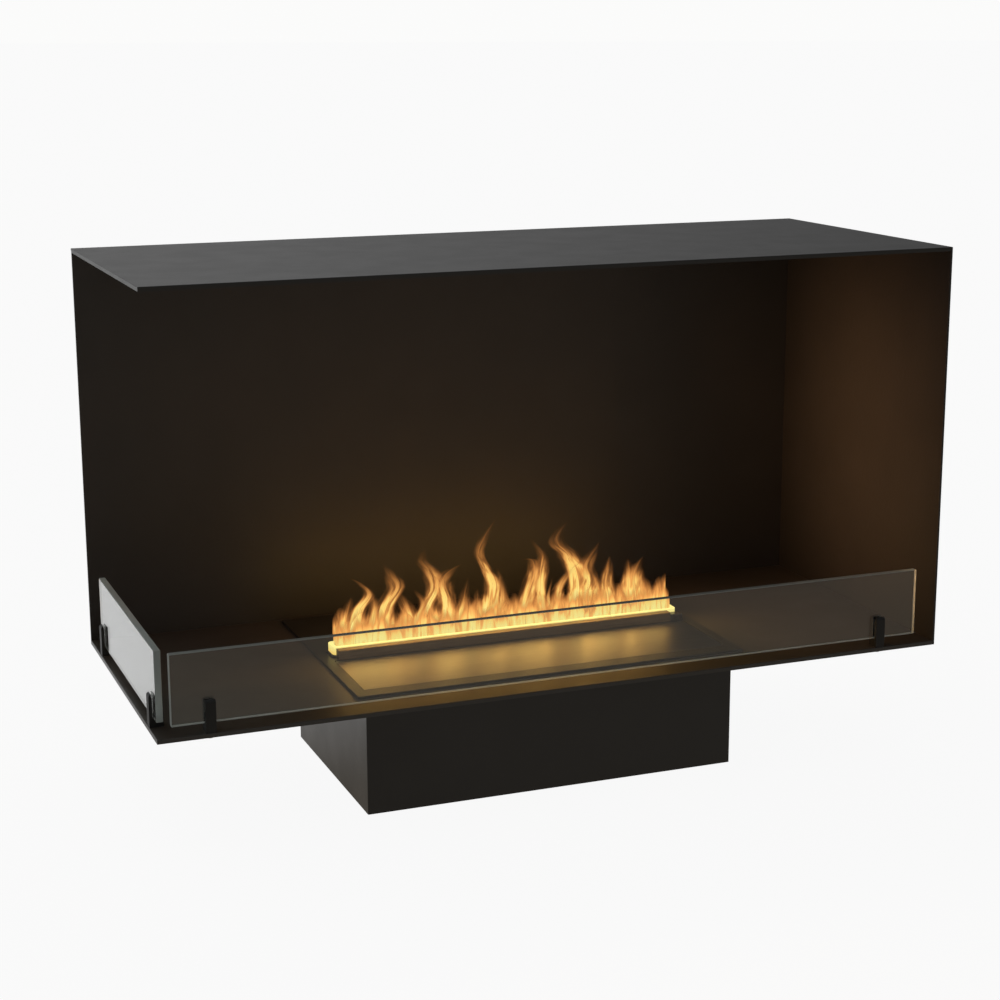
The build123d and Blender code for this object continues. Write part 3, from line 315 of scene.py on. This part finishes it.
glass_face_color = (0.93, 0.965, 0.95)
glass_edge_color = (0.42, 0.47, 0.45)
glass_passes_color = (0.9, 0.93, 0.91, 1.0)
glass_ior = 1.5
# A pane's faces look along one axis, and its edges don't. Between these shares of that axis one becomes the
# other.
face_band = (0.90, 0.99)
wipe_size = 0.12
polished_gloss = (0.008, 0.03)
grit_size = 0.0012
ground_gloss = (0.38, 0.5)
ground_clearness = 0.5


def clear_glass(name, face_axis):
    finish, tree, shader = start_finish(name, glass_face_color, 0.012, Transmission_Weight=1.0, IOR=glass_ior)
    normal = split_axes(tree, tree.nodes.new("ShaderNodeNewGeometry").outputs["True Normal"])
    facing = combine(tree, "ABSOLUTE", normal[face_axis], 0.0)
    ground = smooth_range(tree, facing, *face_band, 1.0, 0.0)
    wiped = smooth_range(tree, pattern(tree, wipe_size, 3.0), pattern_low, pattern_high, *polished_gloss)
    grit = smooth_range(tree, pattern(tree, grit_size, 2.0), pattern_low, pattern_high, *ground_gloss)
    rough = combine(tree, "MAXIMUM", combine(tree, "MULTIPLY", ground, grit), wiped)
    tree.links.new(rough, shader.inputs["Roughness"])
    clearness = smooth_range(tree, ground, 0.0, 1.0, 1.0, ground_clearness)
    tree.links.new(clearness, shader.inputs["Transmission Weight"])
    tint(tree, shader, ground, glass_face_color, glass_edge_color, 0.0, 1.0)
    passes = add_node(tree, "ShaderNodeBsdfTransparent", Color=glass_passes_color)
    lets_light = any_ray(tree, "Is Shadow Ray", "Is Diffuse Ray")
    mix = mix_shaders(tree, lets_light, shader.outputs[0], passes.outputs[0])
    tree.links.new(mix, tree.nodes["Material Output"].inputs["Surface"])
    return finish


dress(clear_glass("front_float_glass", "Y"), "front_glass")
dress(clear_glass("side_float_glass", "X"), "left_glass")


# Clips. Short slotted posts milled from steel bar and painted black, lined with soft rubber where they
# hold the glass.

clip_finish = powder_coat("clip_black_paint", (0.005, 0.005, 0.0052), (0.008, 0.008, 0.0082),
                          0.55, 0.65, 0.0006)
dress(clip_finish, "front_clip_left", "front_clip_right", "side_clip_front", "side_clip_back")

liner_cloud = 0.004
liner_grain = 0.0005
liner_height = 0.00006
liner_finish, tree, shader = start_finish("clip_rubber", (0.03, 0.03, 0.03), 0.75)
tint(tree, shader, pattern(tree, liner_cloud, 3.0), (0.022, 0.022, 0.022), (0.045, 0.045, 0.044))
roughen(tree, shader, pattern(tree, liner_grain, 2.0), liner_height)
dress(liner_finish, "clip_liners")


# Insert. The burner's own sheet body, its flat trim frame round lid and slot, the brackets and the air
# grille are coated a little smoother and browner than the casing. The bar in front of the slot is metal
# painted warm brown as a painted glow of the flames, and the receiver at its end has a window of dark
# plastic.

insert_finish = powder_coat("insert_black_coat", (0.0145, 0.0142, 0.0138), (0.019, 0.0185, 0.018),
                            0.35, 0.40, 0.0007)
dress(insert_finish, "cassette_body", "trim_frame", "left_bracket", "right_bracket", "air_grille")

bar_grain = 0.0012
bar_stretch = (0.03, 1.0, 1.0)
# The bar's warm brown is painted glow of the flames on its metal.
bar_painted_glow_finish, tree, shader = start_finish("bar_with_painted_glow", (0.15, 0.1, 0.06), 0.42, Metallic=0.6)
bar_pattern = pattern(tree, bar_grain, 2.0, bar_stretch)
tint(tree, shader, bar_pattern, (0.12, 0.080, 0.045), (0.18, 0.125, 0.072))
vary_gloss(tree, shader, bar_pattern, 0.40, 0.48)
dress(bar_painted_glow_finish, "slot_bar")

receiver_cloud = 0.02
receiver_gloss_cloud = 0.004
receiver_finish, tree, shader = start_finish("receiver_window_plastic", (0.02, 0.018, 0.02), 0.16)
tint(tree, shader, pattern(tree, receiver_cloud, 2.0), (0.014, 0.012, 0.014), (0.026, 0.022, 0.026))
vary_gloss(tree, shader, pattern(tree, receiver_gloss_cloud, 2.0), 0.14, 0.24)
dress(receiver_finish, "receiver")


# Lid. Satin stainless sheet over the filling bay, brushed along its length, that catches the glow of the
# flames from just in front of them.

brushing_width = 0.0006
brushing_stretch = (0.012, 1.0, 1.0)
brushing_height = 0.00003
lid_finish, tree, shader = start_finish("brushed_lid_steel", (0.5, 0.47, 0.42), 0.36, Metallic=1.0)
brushing = pattern(tree, brushing_width, 2.0, brushing_stretch)
tint(tree, shader, brushing, (0.38, 0.36, 0.33), (0.56, 0.53, 0.48), 0.25, 0.75)
vary_gloss(tree, shader, brushing, 0.34, 0.46)
roughen(tree, shader, brushing, brushing_height)
dress(lid_finish, "fill_lid")


# Light diffuser. A ring of opal acrylic round the slot, lit from below by two rows of warm LEDs: brightest
# over each lamp and at its top edge, where the mist leaves.

led_pitch = 0.038
ripple_level = 0.14
foot_level = 0.34
top_level = 0.86
opal_cloud = 0.01
diffuser_low, diffuser_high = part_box("light_diffuser")

diffuser_finish, tree, shader = start_finish("lit_opal_acrylic", (0.9, 0.8, 0.5), 0.45, Emission_Strength=1.0)
place = split_axes(tree, tree.nodes.new("ShaderNodeTexCoord").outputs["Object"])
phase = combine(tree, "MULTIPLY", place["X"], 2 * math.pi / led_pitch)
wave = combine(tree, "COSINE", phase, 0.0)
ripple = smooth_range(tree, wave, -1.0, 1.0, 0.0, ripple_level)
rise = smooth_range(tree, place["Z"], diffuser_low.z, diffuser_high.z, foot_level, top_level)
glow = color_ramp(tree, combine(tree, "ADD", rise, ripple),
                  (0.0, (0.60, 0.30, 0.05)), (0.5, (0.90, 0.62, 0.15)), (1.0, (0.97, 0.85, 0.30)))
tree.links.new(glow, shader.inputs["Emission Color"])
tint(tree, shader, pattern(tree, opal_cloud, 2.0), (0.20, 0.17, 0.10), (0.26, 0.23, 0.14))
dress(diffuser_finish, "light_diffuser")

led_glow = (1.0, 0.78, 0.34, 1.0)
led_size = 0.004
led_finish, tree, shader = start_finish("led_board", (0.85, 0.82, 0.7), 0.4, Emission_Strength=0.8,
                                        Emission_Color=led_glow)
tint(tree, shader, pattern(tree, led_size, 1.0), (0.75, 0.72, 0.62), (0.9, 0.86, 0.7), 0.4, 0.6)
dress(led_finish, "led_strips")


# Flames. Fine water mist that rises from the slot and is lit orange from below: a low bright curtain along
# the whole slot, and tongues that narrow, lean and curl as they rise, denser at their cores.

flame_sink = 0.008
diffuser_wall = 0.006
flame_root = diffuser_high.z - flame_sink
slot_middle_y = (diffuser_low.y + diffuser_high.y) / 2
slot_half_depth = (diffuser_high.y - diffuser_low.y) / 2 - diffuser_wall
flame_left = diffuser_low.x + diffuser_wall
flame_right = diffuser_high.x - diffuser_wall

# Each tongue as seen from the front: points (place along the slot, height above its foot, half its width) in
# millimetres, from the foot to the tip.
tongue_lines = [
    ((-222, 0, 9), (-217, 25, 9), (-211, 48, 8), (-207, 66, 2)),
    ((-204, 0, 15), (-203, 24, 13), (-196, 48, 10), (-182, 66, 7), (-192, 80, 4), (-207, 90, 1)),
    ((-184, 0, 12), (-180, 28, 11), (-176, 52, 8), (-180, 68, 3)),
    ((-163, 0, 15), (-165, 25, 13), (-160, 50, 12), (-147, 72, 11), (-153, 88, 8), (-161, 102, 2)),
    ((-128, 0, 13), (-129, 24, 12), (-138, 48, 10), (-148, 68, 5)),
    ((-118, 0, 10), (-119, 30, 8), (-113, 50, 7), (-124, 67, 2)),
    ((-112, 0, 11), (-110, 20, 9), (-105, 42, 8), (-93, 66, 13), (-100, 88, 10), (-112, 103, 8),
     (-109, 119, 2)),
    ((-80, 0, 13), (-81, 25, 10), (-82, 50, 11), (-86, 70, 14), (-80, 84, 9), (-62, 95, 2)),
    ((-66, 0, 12), (-64, 25, 9), (-58, 46, 7), (-50, 74, 2)),
    ((-46, 0, 7), (-50, 28, 4), (-57, 47, 1.5)),
    ((-36, 0, 12), (-36, 28, 8), (-40, 60, 2)),
    ((-24, 0, 17), (-22, 23, 15), (-17, 60, 10), (-26, 84, 7), (-35, 104, 7), (-28, 124, 6), (-12, 148, 2)),
    ((-5, 0, 12), (-4, 26, 9), (-6, 54, 8), (-9, 82, 2)),
    ((9, 0, 10), (6, 22, 7), (0, 46, 4), (-6, 70, 1.5)),
    ((24, 0, 15), (25, 25, 12), (31, 50, 10), (38, 74, 10), (36, 90, 6), (22, 91, 2)),
    ((50, 0, 12), (49, 30, 9), (48, 58, 9), (49, 82, 9), (49, 98, 6), (33, 118, 2)),
    ((66, 0, 9), (64, 22, 5), (60, 40, 3), (65, 62, 1)),
    ((73, 0, 13), (71, 22, 9), (73, 46, 8), (84, 66, 7), (96, 78, 5)),
    ((95, 0, 17), (98, 17, 14), (101, 46, 11), (98, 70, 15), (88, 92, 14), (76, 104, 11), (74, 116, 8),
     (87, 134, 2)),
    ((113, 0, 13), (113, 30, 10), (116, 52, 12), (111, 74, 12), (120, 90, 7), (130, 105, 2)),
    ((141, 0, 16), (141, 28, 14), (139, 51, 11), (143, 69, 7), (146, 84, 1.5)),
    ((128, 0, 10), (128, 30, 9), (126, 50, 7), (122, 66, 2)),
    ((160, 0, 12), (160, 24, 8), (163, 46, 2)),
    ((186, 0, 16), (183, 25, 14), (181, 48, 13), (184, 64, 9), (192, 80, 1.5)),
    ((172, 0, 10), (172, 35, 10), (173, 60, 9), (169, 80, 2)),
    ((205, 0, 14), (204, 24, 10), (199, 50, 2)),
    ((217, 0, 11), (215, 20, 8), (211, 38, 1.5)),
    ((226, 0, 6), (226, 12, 4), (223, 31, 1)),
]

# A sheet is wider than its tongue by this factor, because its edges fade out.
fade_room = 1.45
# Two sheets cross in each tongue. Each has its turn from the front, in radians, and its share of the width.
sheet_turns = ((0.0, 1.0), (1.5, 0.55))
tongue_turn = (-0.25, 0.05)
tongue_spread = 0.45
tongue_curl = 0.004
curl_rate = 5.0


def along_line(line, up):
    span = len(line) - 1
    step = min(int(up * span), span - 1)
    part = up * span - step
    before, start, end, after = (line[max(0, min(span, step + shift))] for shift in (-1, 0, 1, 2))
    blend = []
    for a, b, c, d in zip(before, start, end, after):
        bend = 2 * a - 5 * b + 4 * c - d + part * (3 * (b - c) + d - a)
        blend.append(b + 0.5 * part * (c - a + part * bend))
    return blend


def start_sheets():
    sheets = bmesh.new()
    return sheets, [sheets.loops.layers.uv.new(name) for name in ("flame", "flow")]


def map_sheet(uv_layers, where):
    for face in {face for vert in where for face in vert.link_faces}:
        face.smooth = True
        for loop in face.loops:
            for layer, place in zip(uv_layers, where[loop.vert]):
                loop[layer].uv = place


def flame_sheet(sheets, uv_layers, line, y, turn, share, phase):
    made = bmesh.ops.create_grid(sheets, x_segments=6, y_segments=30, size=0.5)
    across = Vector((math.cos(turn), math.sin(turn), 0.0))
    where = {}
    for vert in made["verts"]:
        side, up = vert.co.x * 2, vert.co.y + 0.5
        x, height, half = (value / 1000 for value in along_line(line, up))
        half = half * fade_room
        depth = tongue_curl * up * math.cos(curl_rate * up + phase)
        where[vert] = ((vert.co.x + 0.5, up), (line[0][0] / 1000 + side * half + turn, height))
        vert.co = Vector((x, y + depth, flame_root + height)) + across * half * share * side
    map_sheet(uv_layers, where)


def flame_tongue(sheets, uv_layers, chance, line):
    y = slot_middle_y + chance.uniform(-tongue_spread, tongue_spread) * slot_half_depth
    phase = chance.uniform(0.0, 2 * math.pi)
    first_turn = chance.uniform(*tongue_turn)
    for turn, share in sheet_turns:
        flame_sheet(sheets, uv_layers, line, y, first_turn + turn, share, phase)


def on_sheet(tree, layer):
    uv = add_node(tree, "ShaderNodeUVMap", {"uv_map": layer})
    return uv.outputs[0]


def flow(tree, wide, tall, detail, distortion):
    return noise_over(tree, on_sheet(tree, "flow"), (1.0 / wide, 1.0 / tall, 1.0), 1.0, detail, distortion)


# How the mist thins out: in shares of a sheet's width from its middle to its edge at 0.5, and in shares of
# its height from foot to tip. The sizes of wavers and streaks are their width and height.
core_band = (0.02, 0.46)
rim_band = (0.40, 0.5)
tip_end = 1.05
foot_end = 0.04
waver_size = (0.012, 0.030)
streak_size = (0.0055, 0.034)
streak_band = (0.34, 0.60)
streak_levels = (0.5, 1.12)
mist_glow = ((0.0, (0.34, 0.125, 0.035)), (0.20, (0.60, 0.225, 0.055)), (0.42, (0.95, 0.42, 0.105)),
             (0.66, (1.0, 0.68, 0.18)), (1.0, (1.0, 0.84, 0.28)))


def lit_mist(name, reach, thickness, ragged):
    finish, tree, shader = start_finish(name, (0.0, 0.0, 0.0), 1.0, Specular_IOR_Level=0.0,
                                        Emission_Strength=1.0)
    sheet = split_axes(tree, on_sheet(tree, "flame"))
    across, up = sheet["X"], sheet["Y"]
    off_middle = combine(tree, "ABSOLUTE", combine(tree, "SUBTRACT", across, 0.5), 0.0)
    waver = combine(tree, "SUBTRACT", flow(tree, *waver_size, 2.0, 0.6), 0.5)
    wavering = combine(tree, "ADD", off_middle, combine(tree, "MULTIPLY", waver, ragged))
    body = smooth_range(tree, wavering, *core_band, 1.0, 0.0)
    rim = smooth_range(tree, off_middle, *rim_band, 1.0, 0.0)
    streaks = smooth_range(tree, flow(tree, *streak_size, 3.0, 0.5), *streak_band, *streak_levels)
    rest = combine(tree, "POWER", smooth_range(tree, up, 0.0, tip_end, 1.0, 0.0), reach)
    heat = combine(tree, "MULTIPLY", combine(tree, "MULTIPLY", body, streaks), rest)
    foot = smooth_range(tree, up, 0.0, foot_end, 0.0, 1.0)
    ends = combine(tree, "MULTIPLY", rim, foot)
    alpha = combine(tree, "MULTIPLY", combine(tree, "MULTIPLY", heat, thickness), ends)
    tree.links.new(combine(tree, "MINIMUM", alpha, 1.0), shader.inputs["Alpha"])
    tree.links.new(color_ramp(tree, heat, *mist_glow), shader.inputs["Emission Color"])
    return finish


def flame_piece(name, sheets, finish):
    mesh = bpy.data.meshes.new(name)
    sheets.to_mesh(mesh)
    sheets.free()
    mesh.materials.append(finish)
    piece = bpy.data.objects.new(name, mesh)
    bpy.context.scene.collection.objects.link(piece)
    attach(piece, "fireplace")


chance = random.Random(11)
sheets, uv_layers = start_sheets()
for line in tongue_lines:
    flame_tongue(sheets, uv_layers, chance, line)
flame_piece("flame_tongues", sheets, lit_mist("lit_mist_tongues", 0.95, 1.75, 0.45))

# Small tongues between the drawn ones, in millimetres like them but for their margin at the slot's ends.
# The waist's lean, height and half width are shares of the tip's lean, the height and the foot's half width.
small_tongues = 26
small_margin = 0.008
small_jitter = 0.4
small_waist = (0.3, 0.45, 0.8)
small_tip = 1.5
small_height = (26, 50)
small_half = (7, 14)
small_lean = (-7, 7)
sheets, uv_layers = start_sheets()
for number in range(small_tongues):
    share = (number + 0.5) / small_tongues + chance.uniform(-small_jitter, small_jitter) / small_tongues
    x = 1000 * (flame_left + small_margin + (flame_right - flame_left - 2 * small_margin) * share)
    tall = chance.uniform(*small_height)
    half = chance.uniform(*small_half)
    lean = chance.uniform(*small_lean)
    waist = (x + small_waist[0] * lean, small_waist[1] * tall, small_waist[2] * half)
    line = ((x, 0, half), waist, (x + lean, tall, small_tip))
    flame_tongue(sheets, uv_layers, chance, line)
flame_piece("flame_low", sheets, lit_mist("lit_mist_low", 0.6, 1.5, 0.3))

# The curtain: rows of low sheets along the whole slot, one behind the other, with wavy upper edges.
curtain_height = 0.038
curtain_rows = (-0.9, -0.2, 0.6)
curtain_sway = 0.0015
row_shift = 0.7
sheets, uv_layers = start_sheets()
for row, y_share in enumerate(curtain_rows):
    made = bmesh.ops.create_grid(sheets, x_segments=120, y_segments=6, size=0.5)
    where = {}
    for vert in made["verts"]:
        along, up = vert.co.x + 0.5, vert.co.y + 0.5
        x = flame_left + (flame_right - flame_left) * along
        long_wave = 0.22 * math.sin(97 * x + 2 * row)
        short_wave = 0.16 * math.sin(211 * x + 5 * row)
        tall = curtain_height * (1.0 + long_wave + short_wave)
        where[vert] = ((0.5, up), (x + row_shift * row, tall * up))
        y = slot_middle_y + y_share * slot_half_depth + curtain_sway * math.sin(60 * x + row)
        vert.co = Vector((x, y, flame_root + tall * up))
    map_sheet(uv_layers, where)
flame_piece("flame_curtain", sheets, lit_mist("lit_mist_curtain", 0.75, 2.6, 0.10))


# Glow of the flames. Warm lamps in the place of the lit mist throw its light on the lid, the deck and the
# walls; they aren't part of the object.

def warm_lamp(name, place, target, length, depth, power, color, spread=180, mirrored=False):
    data = bpy.data.lights.new(name, "AREA")
    data.shape = "RECTANGLE"
    data.size = length
    data.size_y = depth
    data.energy = power
    data.color = color
    data.spread = math.radians(spread)
    lamp = bpy.data.objects.new(name, data)
    aim = (Vector(target) - Vector(place)).to_track_quat("-Z", "Y")
    lamp.matrix_world = Matrix.Translation(place) @ aim.to_matrix().to_4x4()
    lamp.visible_camera = False
    lamp.visible_transmission = False
    lamp.visible_glossy = mirrored
    lamp.visible_diffuse = not mirrored
    bpy.context.scene.collection.objects.link(lamp)


flames_length = 0.44
flames_depth = 0.05
flames_middle = (0.0, slot_middle_y, diffuser_high.z + 0.05)
flames_foot = (0.0, slot_middle_y - 0.004, diffuser_high.z + 0.012)
ahead = (0.0, slot_middle_y - 0.2, 0.13)
back_wall = (0.0, slot_middle_y + 0.2, 0.24)
above_flames = (-0.05, -0.1, 0.36)
upper_back_wall = (-0.05, 0.2, 0.40)
beside_flames = (0.24, -0.03, 0.36)
right_wall = (0.5, -0.03, 0.38)
warm_lamp("glow_forward", flames_middle, ahead, flames_length, flames_depth, 2.7, (1.0, 0.60, 0.17))
warm_lamp("glow_mirrored", flames_foot, ahead, flames_length, 0.03, 0.15, (1.0, 0.60, 0.15), mirrored=True)
warm_lamp("glow_backward", flames_middle, back_wall, flames_length, flames_depth, 0.6, (1.0, 0.50, 0.16))
warm_lamp("glow_wide", above_flames, upper_back_wall, 0.8, 0.3, 0.7, (1.0, 0.46, 0.12))
warm_lamp("glow_right", beside_flames, right_wall, 0.3, 0.4, 1.0, (1.0, 0.50, 0.22), spread=95)


# Mist chamber. A moulded basin under a hood that narrows to the slot, brass-cased ceramic discs under
# rubber rings in its floor, and the board that drives them below. Two fans behind it blow in air, which
# comes through a foam filter.

plastic_cloud = 0.03
plastic_gloss_cloud = 0.012
plastic_grain = 0.0008
plastic_rise = 0.05


def moulded_plastic(name, dark, light, roughness, **sockets):
    finish, tree, shader = start_finish(name, light, roughness, **sockets)
    tint(tree, shader, pattern(tree, plastic_cloud, 2.0), dark, light)
    vary_gloss(tree, shader, pattern(tree, plastic_gloss_cloud, 3.0), roughness - 0.05, roughness + 0.08)
    roughen(tree, shader, pattern(tree, plastic_grain, 1.0), plastic_grain * plastic_rise)
    return finish


basin_finish = moulded_plastic("basin_plastic", (0.030, 0.032, 0.034), (0.045, 0.047, 0.05), 0.38)
dress(basin_finish, "mist_basin", "mist_nozzle")
ring_finish = moulded_plastic("ring_rubber", (0.02, 0.02, 0.021), (0.035, 0.035, 0.036), 0.6)
dress(ring_finish, "transducer_rings")
brass_finish = plated_steel("brass", (0.52, 0.34, 0.12), (0.78, 0.56, 0.24), 0.26)
dress(brass_finish, "transducers")

track_size = 0.004
track_stretch = (1.0, 0.25, 1.0)
track_height = 0.00005
board_finish, tree, shader = start_finish("green_circuit_board", (0.01, 0.10, 0.05), 0.3)
tracks = pattern(tree, track_size, 2.0, track_stretch)
green = color_ramp(tree, tracks, (0.44, (0.006, 0.075, 0.035)), (0.47, (0.015, 0.14, 0.07)),
                   (0.6, (0.02, 0.16, 0.08)))
tree.links.new(green, shader.inputs["Base Color"])
roughen(tree, shader, tracks, track_height)
dress(board_finish, "driver_board")

fan_finish = moulded_plastic("fan_black_plastic", (0.016, 0.016, 0.017), (0.028, 0.028, 0.03), 0.42)
dress(fan_finish, "left_fan_housing", "left_fan_rotor", "right_fan_housing", "right_fan_rotor")

foam_cell = 0.0022
foam_height = 0.001
foam_finish, tree, shader = start_finish("filter_foam", (0.05, 0.05, 0.05), 0.95)
cells = pattern(tree, foam_cell, 4.0)
tint(tree, shader, cells, (0.008, 0.008, 0.008), (0.07, 0.07, 0.068), 0.35, 0.65)
roughen(tree, shader, cells, foam_height)
dress(foam_finish, "air_filter")


# Water side. Natural polyethylene tank with its cover, strainer, blue cap and white level float, a small
# pump, and clear silicone hoses to the mist basin and to the brass drain cock on the back wall, which has
# a red lever.

tank_finish = moulded_plastic("natural_polyethylene", (0.62, 0.63, 0.60), (0.74, 0.75, 0.72), 0.42,
                              Subsurface_Weight=0.2)
dress(tank_finish, "water_tank", "tank_cover", "fill_strainer")
cap_finish = moulded_plastic("cap_blue_plastic", (0.012, 0.11, 0.34), (0.02, 0.16, 0.44), 0.34)
dress(cap_finish, "fill_cap")
float_finish = moulded_plastic("float_white_plastic", (0.72, 0.72, 0.70), (0.82, 0.82, 0.80), 0.45)
dress(float_finish, "float_stem", "tank_float")
pump_finish = moulded_plastic("pump_black_plastic", (0.018, 0.018, 0.02), (0.035, 0.035, 0.037), 0.4)
dress(pump_finish, "feed_pump")
hose_finish = moulded_plastic("clear_silicone", (0.68, 0.70, 0.70), (0.78, 0.80, 0.80), 0.3,
                              Transmission_Weight=0.4)
dress(hose_finish, "delivery_hose", "drain_hose")
dress(brass_finish, "drain_valve")
lever_finish = moulded_plastic("red_vinyl", (0.38, 0.012, 0.01), (0.52, 0.02, 0.016), 0.36)
dress(lever_finish, "drain_handle")


# Electrics. Supply in a steel case, control board, mains inlet with brass contacts and rocker on the back
# wall, and the wires between them.

supply_finish = plated_steel("supply_case_steel", (0.42, 0.43, 0.44), (0.55, 0.56, 0.57), 0.42)
dress(supply_finish, "power_supply")
dress(board_finish, "control_board")
socket_finish = moulded_plastic("socket_black_plastic", (0.012, 0.012, 0.013), (0.022, 0.022, 0.024), 0.36)
dress(socket_finish, "power_inlet", "switch_bezel", "rocker")
dress(brass_finish, "inlet_contacts")
wire_finish = moulded_plastic("wire_vinyl", (0.015, 0.015, 0.015), (0.028, 0.028, 0.028), 0.42)
dress(wire_finish, "wiring")


# Buttons. A grey panel beside the tank with three white keys over a switch board: flames down, power and
# flames up, each with its sign printed on it.

panel_finish = moulded_plastic("panel_grey_plastic", (0.16, 0.165, 0.17), (0.21, 0.215, 0.22), 0.45)
dress(panel_finish, "button_panel")
key_finish = moulded_plastic("key_white_plastic", (0.66, 0.66, 0.64), (0.78, 0.78, 0.76), 0.36)
dress(key_finish, "flame_down_button", "power_button", "flame_up_button")
dress(board_finish, "switch_board")

sign_ink = moulded_plastic("sign_ink", (0.02, 0.02, 0.022), (0.04, 0.04, 0.042), 0.5)
sign_radius = 0.0032
ink_thickness = 0.00012
ring_width = sign_radius * 0.28
stroke_width = sign_radius * 0.3
stroke_length = sign_radius
stroke_middle = sign_radius * 0.6
stroke_lift = 0.00003


def print_sign(name, button, body, corners, turned, hole):
    low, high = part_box(button)
    shape = bmesh.new()
    rim = bmesh.ops.create_circle(shape, segments=corners, radius=sign_radius, cap_ends=True)["verts"]
    bmesh.ops.rotate(shape, verts=rim, cent=(0, 0, 0), matrix=Matrix.Rotation(turned, 3, "Z"))
    if hole:
        bmesh.ops.inset_region(shape, faces=shape.faces[:], thickness=ring_width, use_even_offset=True)
        inner = min(shape.faces, key=lambda face: max(vert.co.length for vert in face.verts))
        bmesh.ops.delete(shape, geom=[inner], context="FACES_ONLY")
        stroke = bmesh.ops.create_grid(shape, x_segments=1, y_segments=1, size=0.5)["verts"]
        bmesh.ops.scale(shape, verts=stroke, vec=(stroke_width, stroke_length, 1.0))
        bmesh.ops.translate(shape, verts=stroke, vec=(0.0, stroke_middle, stroke_lift))
    raised = bmesh.ops.extrude_face_region(shape, geom=shape.faces[:])
    lifted = [item for item in raised["geom"] if isinstance(item, bmesh.types.BMVert)]
    bmesh.ops.translate(shape, verts=lifted, vec=(0.0, 0.0, ink_thickness))
    middle = Vector(((low.x + high.x) / 2, (low.y + high.y) / 2, high.z - ink_thickness / 3))
    bmesh.ops.translate(shape, verts=shape.verts[:], vec=middle)
    bmesh.ops.recalc_face_normals(shape, faces=shape.faces[:])
    mesh = bpy.data.meshes.new(name)
    shape.to_mesh(mesh)
    shape.free()
    mesh.materials.append(sign_ink)
    sign = bpy.data.objects.new(name, mesh)
    bpy.context.scene.collection.objects.link(sign)
    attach(sign, body)


print_sign("sign_down", "flame_down_button", "flame_down", 3, math.pi, False)
print_sign("sign_power", "power_button", "power", 32, 0.0, True)
print_sign("sign_up", "flame_up_button", "flame_up", 3, 0.0, False)
